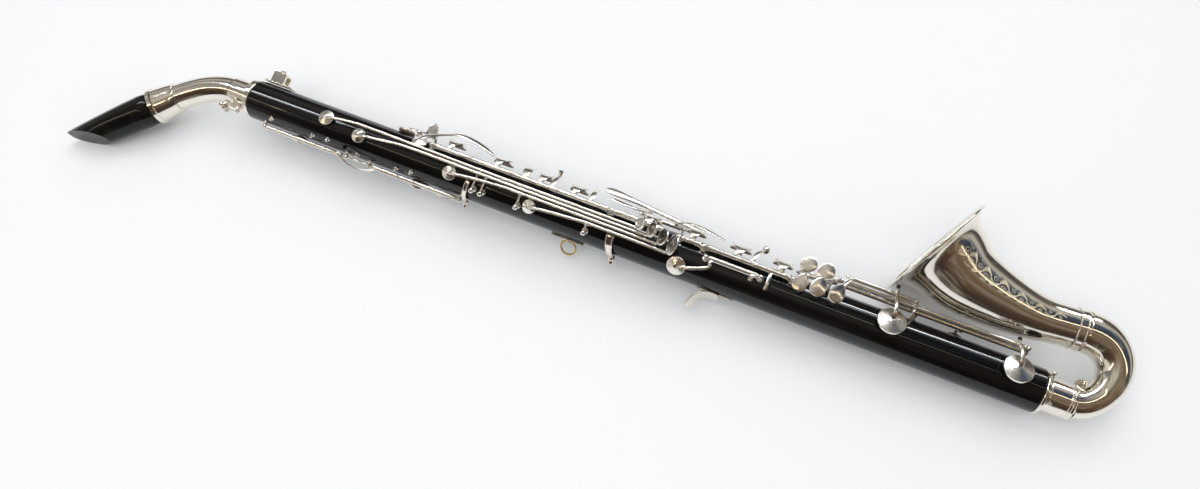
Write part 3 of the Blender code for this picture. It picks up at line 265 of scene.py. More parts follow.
def disc(center, normal, rx, ry=None, t=1.2, n=16, hint=(1, 0, 0), dome=0.0, dish=0.0, egg=0.0, rings=1, under=0.0, crown=2.0):
    """A finger plate with an oval or egg outline and a rounded edge. dome raises its middle,
    dish hollows its top, under hollows its underside. rx runs along the hint."""
    if ry is None:
        ry = rx
    n = 2 * sides(n)
    a, u, w = frame_of(normal, hint)
    o = Vector(center)
    verts, rows = [], []

    def ring(f, z):
        row = []
        for k in range(n):
            th = 2 * math.pi * k / n
            c, s = math.cos(th), math.sin(th)
            row.append(len(verts))
            verts.append(o + u * (rx * f * c) + w * (ry * f * s * (1 - egg * c)) + a * z)
        rows.append(row)
    edge = 1 - min(0.14, 0.45 * t / min(rx, ry))
    rows.append([0])
    verts.append(o + a * (-t / 2 + under))
    for f in (0.3, 0.6, 0.8, edge):
        ring(f * 1.0, -t / 2 + under * (1 - f * f))
    z0, z1 = -t / 2 + under * (1 - edge * edge), t / 2 + (dome - dish) * (1 - edge ** crown)
    for q in (0.25, 0.5, 0.75):
        ang = math.pi * (q - 0.5)
        ring(edge + (1 - edge) * math.cos(ang), (z0 + z1) / 2 + (z1 - z0) / 2 * math.sin(ang))
    for f in (edge, 0.84, 0.7, 0.52, 0.34, 0.16):
        ring(f, t / 2 + (dome - dish) * (1 - f ** crown))
    rows.append([len(verts)])
    verts.append(o + a * (t / 2 + dome - dish))
    faces = []
    for A, B in zip(rows, rows[1:]):
        for k in range(n):
            k2 = (k + 1) % n
            if len(A) == 1:
                faces.append((A[0], B[k2], B[k]))
            elif len(B) == 1:
                faces.append((A[k], A[k2], B[0]))
            else:
                faces.append((A[k], A[k2], B[k2], B[k]))
    return closed(verts, faces)


def box(center, size, ax=(1, 0, 0), up=(0, 0, 1), round_=0.0):
    a, u, w = frame_of(ax, up)
    o = Vector(center)
    bm = bmesh.new()
    vs = [bm.verts.new(o + a * (i * size[0] / 2) + w * (j * size[1] / 2) + u * (k * size[2] / 2))
          for i in (-1, 1) for j in (-1, 1) for k in (-1, 1)]
    for f in ((0, 1, 3, 2), (4, 6, 7, 5), (0, 4, 5, 1), (2, 3, 7, 6), (0, 2, 6, 4), (1, 5, 7, 3)):
        bm.faces.new([vs[i] for i in f])
    if round_:
        bmesh.ops.bevel(bm, geom=list(bm.edges), offset=min(round_, 0.3 * min(size)), segments=3, profile=0.5, affect="EDGES")
    bmesh.ops.recalc_face_normals(bm, faces=bm.faces)
    bm.verts.index_update()
    out = ([v.co.copy() for v in bm.verts], [[v.index for v in f.verts] for f in bm.faces])
    bm.free()
    return closed(*out)


def block(center, size, ax=(1, 0, 0), up=(0, 0, 1)):
    """A box with rounded edges, for pieces that show."""
    return box(center, size, ax, up, 0.4)


# ---------------------------------------------------------------- small features
EXTRAS = []          # (kind, solid) made since the last build: pads, cork tips, and dark pieces of painted shade for screw slots and barrel bores


def extra(kind, solid):
    EXTRAS.append((kind, solid))


def tube_x(x0, x1, y, z, r=TUBE_R, n=12):
    return rod((x0, y, z), (x1, y, z), r, n)


def collars(x0, x1, y, z, at, r=TUBE_R):
    """Thin turned collars on a hinge tube."""
    out = []
    for x, w, h in at:
        if x0 + w / 2 < x < x1 - w / 2:
            out.append(turned((x - w / 2, y, z), (1, 0, 0), [(0, r - 0.2), (0, r + h), (w, r + h), (w, r - 0.2)], 14, ease=0.15))
    return out


def screw_head(c, axis, r, depth=0.35):
    """A screw head standing a little proud; its groove is not cut but painted as shade: a thin dark box laid on the
    head.
    """
    a, u, w = frame_of(axis, (0.3, 0.8, 0.5))
    c = Vector(c)
    extra("screw", turned(c - a * 0.6, a, [(0, 0), (0, r), (0.6 + depth * 0.7, r), (0.6 + depth, r * 0.8), (0.6 + depth, 0)], 12, ease=0.1))
    # painted shade: a thin near-black box on the head stands for the shadow in a screw groove
    extra("painted_recess_shade", box(c + a * (depth + 0.02), (1.9 * r * 0.9, 0.28 * r + 0.1, 0.12), u, a))


def post(x, phi, rad, foot=True, r=POST_R):
    """A hinge post: foot let into the body, waisted stem with a collar, and a ball."""
    d = polar(0, 1, phi)
    base = polar(x, BODY_R - 0.5, phi)
    h = rad - BODY_R + 0.5
    prof = [(0, 2.5), (0.9, 2.5), (1.15, 2.25), (1.3, STEM_R + 0.45), (1.55, STEM_R + 0.05), (h - r * 0.98, STEM_R),
            (h - r * 0.92, STEM_R + 0.4), (h - r * 0.72, STEM_R + 0.4), (h - r * 0.6, STEM_R)]
    return [turned(base, d, prof, 12, ease=0.12), ball(polar(x, rad, phi), r, axis=d)]


def cup(x, rad, phi, r, h=3.2, n=16, cone=1.6):
    """A key cup, its top coned to a small boss, with its pad as a separate piece."""
    d = polar(0, 1, phi)
    o = polar(x, rad, phi)
    extra("pad", turned(o, d, [(0, 0), (0, r - 1.1), (0.1, r - 0.75), (0.4, r - 0.5), (1.4, r - 0.5), (1.4, 0)], n + 4, ease=0.12))
    top = h + cone * 0.6
    lip = h * 0.76
    extra("cone", (turned(o, d, [(lip - 0.3, 0), (lip - 0.3, r - 0.62), (lip + 0.03, r - 0.5), (top - 0.1, 1.75), (top - 0.2, 0)], 40, ease=0), o, d))
    return turned(o, d, [(0.95, 0), (0.95, r - 0.3), (1.05, r - 0.05), (1.2, r), (h * 0.62, r), (h * 0.7, r - 0.12), (lip, r - 0.45),
                         (top - 0.14, 1.9), (top - 0.12, 1.3), (top, 0.9), (top, 0)], n + 6, ease=0.1)


def length_of(points):
    P = smooth_path(points, 10)
    return sum((b - a).length for a, b in zip(P, P[1:]))


def along(points):
    """A function giving the place and direction at a distance along a smooth path, whose bends
    are evened out."""
    rough = smooth_path(points, 12)
    far = [0.0]
    for a, b in zip(rough, rough[1:]):
        far.append(far[-1] + (b - a).length)
    m = int(far[-1] / 0.8)
    P, j = [], 0
    for i in range(m + 1):
        s = far[-1] * i / m
        while j < len(far) - 2 and far[j + 1] < s:
            j += 1
        P.append(rough[j].lerp(rough[j + 1], (s - far[j]) / max(far[j + 1] - far[j], 1e-9)))
    for _ in range(45):
        P = [P[0]] + [P[i - 1] * 0.25 + P[i] * 0.5 + P[i + 1] * 0.25 for i in range(1, len(P) - 1)] + [P[-1]]
    dist = [0.0]
    for a, b in zip(P, P[1:]):
        dist.append(dist[-1] + (b - a).length)

    def at(s):
        s = max(0.0, min(s, dist[-1]))
        for i in range(len(P) - 1):
            if s <= dist[i + 1] + 1e-9:
                t = (s - dist[i]) / (dist[i + 1] - dist[i])
                p = P[i].lerp(P[i + 1], t)
                d0 = P[min(i + 1, len(P) - 1)] - P[max(i - 1, 0)]
                d1 = P[min(i + 2, len(P) - 1)] - P[i]
                return p, d0.normalized().lerp(d1.normalized(), t).normalized()
        return P[-1], (P[-1] - P[-2]).normalized()
    return at


def pipe(points, profile, n=20, step=8.0, hint=(0, 0, 1), phase=0.0):
    """A bent pipe. points give its middle line; profile lists (distance along, outer radius,
    inner radius), and rings are added between them wherever they lie more than step apart."""
    at = along(points)
    n, step = sides(n), min(step, 2.4)
    knots = []
    for (s0, o0, i0), (s1, o1, i1) in zip(profile, profile[1:]):
        m = max(1, math.ceil((s1 - s0) / step))
        for k in range(m):
            t = k / m
            knots.append((s0 + (s1 - s0) * t, o0 + (o1 - o0) * t, i0 + (i1 - i0) * t))
    knots.append(profile[-1])
    verts, outer, inner = [], [], []
    for s, ro, ri in knots:
        p, d = at(s)
        u = (Vector(hint) - d * Vector(hint).dot(d)).normalized()
        w = d.cross(u)
        for rows, r in ((outer, ro), (inner, ri)):
            row = []
            for k in range(n):
                t = 2 * math.pi * k / n + phase
                row.append(len(verts))
                verts.append(p + u * (r * math.cos(t)) + w * (r * math.sin(t)))
            rows.append(row)
    faces = []
    loop = outer + inner[::-1]
    for i in range(len(loop)):
        A, B = loop[i], loop[(i + 1) % len(loop)]
        for k in range(n):
            k2 = (k + 1) % n
            faces.append((A[k], A[k2], B[k2], B[k]))
    return closed(verts, faces)



def wrap(points, half_w, half_t, per=6, n=12):
    """A strap that follows the body round: points are (x, radius, phi); half_t is radial."""
    P = smooth_path([Vector(p) for p in points], 6)
    C = [polar(*p) for p in P]
    W, T = lerp_list(half_w, len(P)), lerp_list(half_t, len(P))
    n = 16
    verts, rows = [], []
    m = len(C)
    for i, c in enumerate(C):
        d = (C[min(i + 1, m - 1)] - C[max(i - 1, 0)]).normalized()
        rad = polar(0, 1, P[i].z)
        u = (rad - d * rad.dot(d))
        u = u.normalized() if u.length > 0.2 else (Vector((1, 0, 0)).cross(d)).normalized()
        w = d.cross(u)
        f = 0.86 if i in (0, m - 1) else 1.0
        row = []
        for k in range(n):
            t = 2 * math.pi * (k + 0.5) / n
            a, b = math.cos(t), math.sin(t)
            q = (abs(a) ** 4 + abs(b) ** 4) ** -0.25 * TIGHT * f
            row.append(len(verts))
            verts.append(c + w * (a * q * W[i]) + u * (b * q * T[i]))
        rows.append(row)
    faces = []
    for A, B in zip(rows, rows[1:]):
        for k in range(n):
            k2 = (k + 1) % n
            faces.append((A[k], A[k2], B[k2], B[k]))
    faces.append(tuple(reversed(rows[0])))
    faces.append(tuple(rows[-1]))
    return closed(verts, faces)


# ---------------------------------------------------------------- materials
def nodes_of(name):
    m = bpy.data.materials.new(name)
    m.use_nodes = True
    return m, m.node_tree, m.node_tree.nodes["Principled BSDF"]


def mapped(nt, scale=(1, 1, 1), rot=(0, 0, 0)):
    tc = nt.nodes.new("ShaderNodeTexCoord")
    mp = nt.nodes.new("ShaderNodeMapping")
    mp.inputs["Scale"].default_value = scale
    mp.inputs["Rotation"].default_value = rot
    nt.links.new(tc.outputs["Object"], mp.inputs["Vector"])
    return mp.outputs["Vector"]


def noise(nt, vec, scale, detail=4.0, rough=0.55, warp=0.0):
    n = nt.nodes.new("ShaderNodeTexNoise")
    n.inputs["Scale"].default_value = scale
    n.inputs["Detail"].default_value = detail
    n.inputs["Roughness"].default_value = rough
    n.inputs["Distortion"].default_value = warp
    nt.links.new(vec, n.inputs["Vector"])
    return n.outputs["Fac"]


def span(nt, fac, a, b, lo, hi):
    """fac from a..b becomes lo..hi, held inside."""
    m = nt.nodes.new("ShaderNodeMapRange")
    for k, v in zip(("From Min", "From Max", "To Min", "To Max"), (a, b, lo, hi)):
        m.inputs[k].default_value = v
    nt.links.new(fac, m.inputs["Value"])
    return m.outputs["Result"]


def blend(nt, fac, c0, c1):
    """A colour between c0 and c1; either may be a colour or an output."""
    m = nt.nodes.new("ShaderNodeMix")
    m.data_type = "RGBA"
    nt.links.new(fac, m.inputs[0])
    for sock, c in ((m.inputs[6], c0), (m.inputs[7], c1)):
        if isinstance(c, tuple):
            sock.default_value = (*c, 1)
        else:
            nt.links.new(c, sock)
    return m.outputs[2]


def math_of(nt, op, a, b):
    m = nt.nodes.new("ShaderNodeMath")
    m.operation = op
    for sock, v in zip(m.inputs, (a, b)):
        if isinstance(v, (int, float)):
            sock.default_value = v
        else:
            nt.links.new(v, sock)
    return m.outputs[0]


def bump(nt, bsdf, height, strength, dist, under=None):
    b = nt.nodes.new("ShaderNodeBump")
    b.inputs["Strength"].default_value = strength
    b.inputs["Distance"].default_value = dist
    nt.links.new(height, b.inputs["Height"])
    if under is not None:
        nt.links.new(under, b.inputs["Normal"])
    nt.links.new(b.outputs["Normal"], bsdf.inputs["Normal"])
    return b.outputs["Normal"]


def plated(name, bright, worn, rough, wave=0.12, wave_scale=90.0, brush=(40, 1400, 1400), tarnish=0.35, brush_depth=0.05, turned_face=False, grit=0.55, pits=0.5):
    """Silver plate: warm tint that drifts from place to place, faint tarnish in patches, fine
    polishing lines, and the slight waviness of hand-finished metal."""
    m, nt, b = nodes_of(name)
    b.inputs["Metallic"].default_value = 1.0
    at = mapped(nt)
    lines = noise(nt, mapped(nt, brush, (0.05, 0.03, 0.08)), 1.0, 3.0, 0.6)
    drift = span(nt, noise(nt, at, 26.0, 5.0, 0.6, 0.4), 0.35, 0.7, 0.0, 1.0)
    stain = span(nt, noise(nt, at, 75.0, 6.0, 0.65, 0.8), 0.56, 0.78, 0.0, tarnish)
    specks = span(nt, noise(nt, at, 1500.0, 2.0, 0.5), 0.68, 0.8, 0.0, pits)
    tint = blend(nt, drift, bright, worn)
    tint = blend(nt, stain, tint, tuple(c * k for c, k in zip(worn, (0.66, 0.58, 0.46))))
    tint = blend(nt, specks, tint, tuple(c * 0.45 for c in worn))
    nt.links.new(tint, b.inputs["Base Color"])
    r = math_of(nt, "ADD", span(nt, drift, 0.0, 1.0, rough * 0.75, rough * 1.35), span(nt, lines, 0.4, 0.75, 0.0, rough * grit))
    r = math_of(nt, "ADD", r, span(nt, stain, 0.0, 0.35, 0.0, 0.09))
    nt.links.new(r, b.inputs["Roughness"])
    soft = bump(nt, b, noise(nt, at, wave_scale, 2.0, 0.5), wave, 0.0012)
    bump(nt, b, lines, brush_depth, 0.00006, soft)
    if turned_face:
        # fine turning lines run round each cup, so its reflections fan out from the middle
        tan = nt.nodes.new("ShaderNodeTangent")
        tan.direction_type = "UV_MAP"
        tan.uv_map = "turning"
        nt.links.new(tan.outputs["Tangent"], b.inputs["Tangent"])
        b.inputs["Anisotropic"].default_value = 0.85
    return m


def black_gloss(name, base, brown, rough, grain=(14, 420, 420), coat=0.12, dust=0.25, level=0.45):
    """Polished black: faint long grain, hairline scratches and a little dust in the gloss."""
    m, nt, b = nodes_of(name)
    at = mapped(nt)
    fibre = noise(nt, mapped(nt, grain, (0.0, 0.02, 0.01)), 1.0, 6.0, 0.65, 0.5)
    cloud = noise(nt, at, 22.0, 4.0, 0.6)
    hair = noise(nt, mapped(nt, (260, 2600, 900), (0.3, 0.5, 0.9)), 1.0, 2.0, 0.5)
    motes = span(nt, noise(nt, at, 2100.0, 1.0, 0.4), 0.76, 0.82, 0.0, dust)
    tint = blend(nt, span(nt, fibre, 0.5, 0.8, 0.0, 1.0), base, brown)
    tint = blend(nt, motes, tint, (0.22, 0.21, 0.2))
    nt.links.new(tint, b.inputs["Base Color"])
    r = math_of(nt, "ADD", span(nt, cloud, 0.35, 0.7, rough * 0.7, rough * 1.3), span(nt, hair, 0.62, 0.8, 0.0, 0.14))
    nt.links.new(math_of(nt, "ADD", r, span(nt, motes, 0.0, 0.25, 0.0, 0.4)), b.inputs["Roughness"])
    b.inputs["Specular IOR Level"].default_value = level
    b.inputs["Coat Weight"].default_value = coat
    b.inputs["Coat Roughness"].default_value = 0.03
    soft = bump(nt, b, fibre, 0.08, 0.00008)
    bump(nt, b, cloud, 0.05, 0.0006, soft)
    return m


def leather(name):
    """Pad skin: tan-brown, finely creased, darker along its creases."""
    m, nt, b = nodes_of(name)
    at = mapped(nt)
    crease = nt.nodes.new("ShaderNodeTexVoronoi")
    crease.feature = "DISTANCE_TO_EDGE"
    crease.inputs["Scale"].default_value = 1500.0
    nt.links.new(at, crease.inputs["Vector"])
    d = span(nt, crease.outputs["Distance"], 0.0, 0.12, 0.0, 1.0)
    cloud = noise(nt, at, 240.0, 4.0, 0.6)
    tint = blend(nt, span(nt, cloud, 0.35, 0.7, 0.0, 1.0), (0.16, 0.085, 0.045), (0.34, 0.22, 0.13))
    nt.links.new(blend(nt, d, (0.06, 0.035, 0.02), tint), b.inputs["Base Color"])
    nt.links.new(span(nt, cloud, 0.3, 0.7, 0.5, 0.75), b.inputs["Roughness"])
    bump(nt, b, d, 0.35, 0.0001)
    return m


def corky(name, dark, light):
    """Pressed cork: light granules with dark pits between them."""
    m, nt, b = nodes_of(name)
    at = mapped(nt)
    v = nt.nodes.new("ShaderNodeTexVoronoi")
    v.inputs["Scale"].default_value = 900.0
    nt.links.new(at, v.inputs["Vector"])
    pits = span(nt, noise(nt, at, 1300.0, 3.0, 0.6), 0.6, 0.72, 0.0, 1.0)
    tint = blend(nt, span(nt, v.outputs["Distance"], 0.1, 0.9, 0.0, 1.0), light, dark)
    nt.links.new(blend(nt, pits, tint, tuple(c * 0.35 for c in dark)), b.inputs["Base Color"])
    nt.links.new(span(nt, v.outputs["Distance"], 0.0, 1.0, 0.7, 0.92), b.inputs["Roughness"])
    bump(nt, b, pits, -0.6, 0.0002)
    return m


def brassy(name):
    """Bare brass: gold where it is rubbed, browner where it isn't."""
    m, nt, b = nodes_of(name)
    b.inputs["Metallic"].default_value = 1.0
    at = mapped(nt)
    drift = span(nt, noise(nt, at, 160.0, 5.0, 0.6, 0.5), 0.35, 0.68, 0.0, 1.0)
    lines = noise(nt, mapped(nt, (1800, 260, 1800), (0.2, 0.4, 0.1)), 1.0, 2.0, 0.5)
    nt.links.new(blend(nt, drift, (0.86, 0.62, 0.20), (0.55, 0.36, 0.12)), b.inputs["Base Color"])
    nt.links.new(math_of(nt, "ADD", span(nt, drift, 0, 1, 0.14, 0.3), span(nt, lines, 0.5, 0.8, 0.0, 0.1)), b.inputs["Roughness"])
    bump(nt, b, lines, 0.1, 0.00005)
    return m


MATS = {
    "tube": plated("silver_hinge_tubes", (0.90, 0.87, 0.81), (0.80, 0.75, 0.67), 0.15, wave=0.004, wave_scale=60.0, tarnish=0.12, brush_depth=0.002, grit=0.1, pits=0.2),
    "key": plated("silver_forged_keys", (0.91, 0.88, 0.82), (0.82, 0.77, 0.69), 0.2, wave=0.004, wave_scale=40.0, brush=(500, 700, 1600), tarnish=0.08, brush_depth=0.002, grit=0.1, pits=0.2),
    "turned": plated("silver_turned_fittings", (0.92, 0.88, 0.81), (0.82, 0.76, 0.66), 0.11, wave=0.08, wave_scale=80.0, brush=(1600, 60, 60)),
    "bell": plated("silver_spun_bell", (0.90, 0.86, 0.78), (0.82, 0.76, 0.66), 0.085, wave=0.34, wave_scale=30.0, brush=(300, 900, 900), tarnish=0.3, brush_depth=0.03),
    "neck": plated("silver_drawn_neck", (0.93, 0.89, 0.83), (0.84, 0.79, 0.70), 0.085, wave=0.16, wave_scale=40.0, brush=(120, 1000, 1000), tarnish=0.2, brush_depth=0.03),
    "cone": plated("silver_turned_cups", (0.93, 0.90, 0.84), (0.83, 0.78, 0.70), 0.17, wave=0.04, wave_scale=90.0, brush_depth=0.008, turned_face=True),
    "engraving": plated("silver_engraved_lines", (1.0, 0.93, 0.74), (0.86, 0.74, 0.50), 0.42, wave=0.3, wave_scale=400.0, tarnish=0.3),
    "screw": plated("steel_screws", (0.74, 0.74, 0.74), (0.60, 0.58, 0.55), 0.2, wave=0.12, wave_scale=300.0, brush=(900, 900, 90)),
    "body": black_gloss("black_body_gloss", (0.0022, 0.0022, 0.0028), (0.008, 0.0055, 0.004), 0.065, coat=0.04),
    "rubber": black_gloss("black_hard_rubber", (0.004, 0.004, 0.004), (0.014, 0.013, 0.009), 0.13, grain=(60, 160, 160), coat=0.03, dust=0.12, level=0.27),
    # painted shade: the near-black of screw slots and barrel bores, standing for the shadow in those recesses
    "painted_recess_shade": black_gloss("black_painted_recess_shade", (0.010, 0.009, 0.008), (0.03, 0.022, 0.015), 0.5, coat=0.0, dust=0.1),
    "tip": corky("black_key_cork", (0.012, 0.011, 0.010), (0.035, 0.032, 0.03)),
    "pad": leather("pad_skin"),
    "cork": corky("tenon_cork", (0.36, 0.23, 0.12), (0.58, 0.41, 0.25)),
    "brass": brassy("strap_ring_brass"),
}
SILVER, BLACK, RUBBER, BRASS, CORK = "key", "body", "rubber", "brass", "cork"


# ---------------------------------------------------------------- assembling
def mesh_of(solid, name):
    me = bpy.data.meshes.new(name)
    me.from_pydata([tuple(v) for v in solid[0]], [], solid[1])
    me.update()
    return me


def volume_of(me):
    bm = bmesh.new()
    bm.from_mesh(me)
    v = bm.calc_volume(signed=True)
    bm.free()
    return v


def combined(name, solids, cuts=()):
    """One mesh (mm) of overlapping solids less cuts."""
    def put(s, tag):
        ob = bpy.data.objects.new(name + tag, mesh_of(s, name + tag))
        scene.collection.objects.link(ob)
        return ob
    base = put(solids[0], "_a")
    tools = [(put(s, f"_u{i}"), "UNION") for i, s in enumerate(solids[1:])] + [(put(s, f"_c{i}"), "DIFFERENCE") for i, s in enumerate(cuts)]
    me = None
    for solver in ("MANIFOLD", "EXACT"):
        base.modifiers.clear()
        for tool, how in tools:
            m = base.modifiers.new("bool", "BOOLEAN")
            m.object, m.operation, m.solver = tool, how, solver
        dg = bpy.context.evaluated_depsgraph_get()
        dg.update()
        me = bpy.data.meshes.new_from_object(base.evaluated_get(dg))
        if len(me.polygons) > 3 and volume_of(me) > 0.2 * volume_of(base.data) * (0 if cuts else 1):
            break
        print("again with the other solver:", name)
    for tool, _ in tools:
        bpy.data.objects.remove(tool, do_unlink=True)
    bpy.data.objects.remove(base, do_unlink=True)
    return me


PLACES = {}          # node -> the matrix (mm to frame metres) of its pieces


def finished(me, name, mat, place, body, replaces=None, sharp=38):
    me.transform(place)
    me.name = name
    me.materials.clear()
    me.materials.append(MATS[mat])
    for poly in me.polygons:
        poly.material_index = 0
    me.shade_smooth()
    me.set_sharp_from_angle(angle=math.radians(sharp))
    ob = bpy.data.objects.new(name, me)
    scene.collection.objects.link(ob)
    wn = ob.modifiers.new("weighted", "WEIGHTED_NORMAL")
    wn.keep_sharp = True
    wn.weight = 60
    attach(ob, body)
    if replaces:
        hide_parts(replaces)
    return ob


def build(name, spec, solids, cuts=(), pivot=None, sharp=38, stand=0.0):
    """The visible piece that stands for a node, and its extras, all riding on the node's body.
    stand turns an open-standing key about x at its pivot, as the frame has it."""
    global EXTRAS
    made, EXTRAS = EXTRAS, []
    p = Vector(pivot) if pivot is not None else Vector((0, 0, 0))
    place = REST @ Matrix.Scale(0.001, 4) @ Matrix.Translation(p) @ Matrix.Rotation(math.radians(stand), 4, "X") @ Matrix.Translation(-p)
    PLACES[name] = place
    finished(combined(name, solids, cuts), name + "_fine", FINISH.get(name, spec), place, BODY_OF[name], name, sharp)
    kinds = {}
    for kind, s in made:
        kinds.setdefault(kind, []).append(s)
    for kind, group in kinds.items():
        if kind == "cone":
            add_cones(name, group)
        else:
            add_piece(f"{name}_{kind}", kind, group, name)


def add_cones(node, group):
    """The turned faces of a key's cups, with a map of the angle round each cup's middle."""
    verts, faces, turn = [], [], []
    for (vs, fs), o, d in group:
        a, u, w = frame_of(d, (1, 0, 0))
        k = len(verts)
        verts += vs
        faces += [[i + k for i in f] for f in fs]
        turn += [(math.atan2((Vector(v) - o).dot(w), (Vector(v) - o).dot(u)) / (2 * math.pi), (Vector(v) - o - a * (Vector(v) - o).dot(a)).length) for v in vs]
    me = mesh_of((verts, faces), node + "_cone")
    uv = me.uv_layers.new(name="turning")
    for poly in me.polygons:
        row = [turn[me.loops[i].vertex_index] for i in poly.loop_indices]
        hub = [q for q in row if q[1] > 1e-6]
        first = hub[0][0] if hub else 0.0
        mean = sum(first + ((q[0] - first + 0.5) % 1.0 - 0.5) for q in hub) / max(len(hub), 1)
        for i, q in zip(poly.loop_indices, row):
            ang = mean if q[1] <= 1e-6 else mean + ((q[0] - mean + 0.5) % 1.0 - 0.5)
            uv.data[i].uv = (ang, q[1] * 0.1)
    finished(me, node + "_cone", "cone", PLACES[node], BODY_OF[node], None, 38)


def add_piece(name, mat, solids, node, sharp=38, union=True):
    """A further piece on a node's body, placed as the node's own pieces are."""
    if union:
        me = combined(name, solids)
    else:
        verts, faces = [], []
        for s in solids:
            k = len(verts)
            verts += s[0]
            faces += [[i + k for i in f] for f in s[1]]
        me = mesh_of((verts, faces), name)
    return finished(me, name, mat, PLACES[node], BODY_OF[node], None, sharp)


FINISH = {n: "turned" for n in ("neck_receiver", "neck_clamp_screw", "body_end_ring", "bell_socket", "bow_ring", "lyre_screw", "lyre_socket",
                                "strap_plate", "lever_guide_upper", "lever_guide_lower")}
FINISH.update({n: "tube" for n in BODY_OF if n.endswith(("_rod", "_rods", "_pivot", "_outer", "_inner", "_short"))})
FINISH.update({"neck": "neck", "bell": "bell", "bell_bow": "bell"})


# ================================================================ the long pieces
# tone holes: place along the body, angle round it, radius
TONE_HOLES = (
    (70.2, 9.8, 3.2), (100.8, -4.5, 3.0), (127.5, 90, 4.0), (146.6, 39, 3.2), (171, 90, 4.2), (179.4, -12.5, 3.0),
    (210.5, 90, 4.8), (246.5, 90, 3.6), (245.8, -21.5, 3.0), (273, 90, 4.8), (331.5, 90, 5.0), (361.3, -30, 4.2),
    (365.5, 90, 5.0), (399.4, 90, 5.0), (430.7, 90, 4.8), (510.1, 20, 6.2), (594.6, 18, 6.2), (150, -120, 4.2),
    (44, -115, 1.6), (470, 165, 4.5), (500, 155, 5.6), (528, 150, 5.4), (557, 150, 6.2),
)


def cone_cut(x, phi, r):
    return rod(polar(x, BORE_R - 1.2, phi), polar(x, BODY_R + 1.0, phi), r, 9)


build("body_tube", BLACK,
      [turned((0, 0, 0), (1, 0, 0),
              [(0, BORE_R), (0, BODY_R - 0.5), (0.5, BODY_R), (BODY_L - 0.5, BODY_R), (BODY_L, BODY_R - 0.5), (BODY_L, BORE_R)],
              36, loop=True)],
      [cone_cut(*h) for h in TONE_HOLES])

# neck end
CLAMP_PHI, CLAMP_RAD = -58.0, 17.8
build("neck_receiver", SILVER,
      [turned((0, 0, 0), (1, 0, 0),
              [(-22.0, 9.65), (-22.0, 10.9), (-6.2, 11.3), (-5.4, 14.6), (-4.6, 15.3), (-0.8, 15.4), (-GAP, 15.0), (-GAP, 9.65)], 28, loop=True),
       block(polar(-10.4, 15.2, CLAMP_PHI), (7.0, 5.0, 8.6), (1, 0, 0), polar(0, 1, CLAMP_PHI))],
      [box(polar(-19.5, 11, 6), (7.0, 1.6, 6.0), (1, 0, 0), polar(0, 1, 6)),
       rod(polar(-18, CLAMP_RAD, CLAMP_PHI), polar(-4, CLAMP_RAD, CLAMP_PHI), 1.75, 10)])
build("neck_clamp_screw", SILVER,
      [rod(polar(-21.6, CLAMP_RAD, CLAMP_PHI), polar(-5.4, CLAMP_RAD, CLAMP_PHI), 1.4, 10),
       turned(polar(-18.6, CLAMP_RAD, CLAMP_PHI), (1, 0, 0), [(0, 0), (0, 4.6), (0.6, 5.0), (2.0, 5.0), (2.6, 4.6), (2.6, 0)], 18),
       ball(polar(-22.4, CLAMP_RAD, CLAMP_PHI), 1.9, 10, 6, axis=(1, 0, 0))],
      pivot=polar(-16, CLAMP_RAD, CLAMP_PHI))

NECK_PATH = [(-2, 0, 0), (-12, 0, 0), (-20, 0, 0), (-24.8, 0, 0), (-33, -1.7, 0), (-44.6, -5.9, 0), (-56.3, -13.0, 0), (-67.8, -21.8, 0), (-75, -28.6, 0), (-81.4, -34.6, 0)]
NECK_L = length_of(NECK_PATH)
NECK_DIR = Vector((-math.cos(math.radians(42.6)), -math.sin(math.radians(42.6)), 0))
build("neck", SILVER,
      [pipe(NECK_PATH,
            [(0, NECK_TENON_R, 7.6), (20.7, NECK_TENON_R, 7.6), (20.9, NECK_R, 7.6),
             (NECK_L - 20.8, NECK_R + 0.2, 8.3), (NECK_L - 20.4, 11.9, 8.3), (NECK_L - 17.0, 12.1, 8.4),
             (NECK_L - 16.0, 12.3, 12.2), (NECK_L - 3.7, 13.6, 12.2), (NECK_L - 3.0, 14.8, 12.2), (NECK_L, 14.8, 12.2)],
            20, step=11.0)],
      pivot=(0, 0, 0))

# mouthpiece, in its own directions: A towards the tip, B the beak side, C across
MP_O = Vector((-82.0, -35.2, 0))
MP_A = Vector((-math.cos(math.radians(43.2)), -math.sin(math.radians(43.2)), 0))
MP_TURN = math.radians(16)
MP_Q = Vector((math.sin(math.radians(43.2)), -math.cos(math.radians(43.2)), 0))
MP_B = (MP_Q * math.cos(MP_TURN) + Vector((0, 0, 1)) * math.sin(MP_TURN)).normalized()
MP_C = MP_A.cross(MP_B)


def mp(s, b, c=0.0):
    return MP_O + MP_A * s + MP_B * b + MP_C * c


BEAK = math.atan2(22.0, 34.5)
beak_dir = MP_A * math.cos(BEAK) - MP_B * math.sin(BEAK)
beak_nrm = MP_A * math.sin(BEAK) + MP_B * math.cos(BEAK)
TABLE_A = math.atan2(3.3, 54.0)
table_dir = MP_A * math.cos(TABLE_A) + MP_B * math.sin(TABLE_A)
table_nrm = MP_A * math.sin(TABLE_A) - MP_B * math.cos(TABLE_A)
build("mouthpiece", RUBBER,
      [swept([mp(s, 0) for s in (0.4, 12, 25, 37, 48, 58, 68, 75, 79.6)],
             [14.0, 13.8, 13.4, 12.7, 11.9, 10.9, 9.7, 8.4, 5.6], [14.0, 13.7, 13.2, 12.6, 12.2, 12.0, 11.8, 11.7, 11.6], 24, hint=MP_B, per=1),
       rod(mp(-14.6, 0), mp(2, 0), 10.3, 20, 0.0)],
      [box(mp(62, 1.0) + beak_nrm * 10, (70, 40, 20), beak_dir, beak_nrm),
       box(mp(53, -10.6) + table_nrm * 10, (62, 40, 20), table_dir, table_nrm),
       rod(mp(-18, 0), mp(49, 0), 7.4, 16),
       box(mp(64.5, -0.5) - beak_nrm * 12.4, (27, 10.6, 20), beak_dir, beak_nrm)],
      pivot=MP_O)
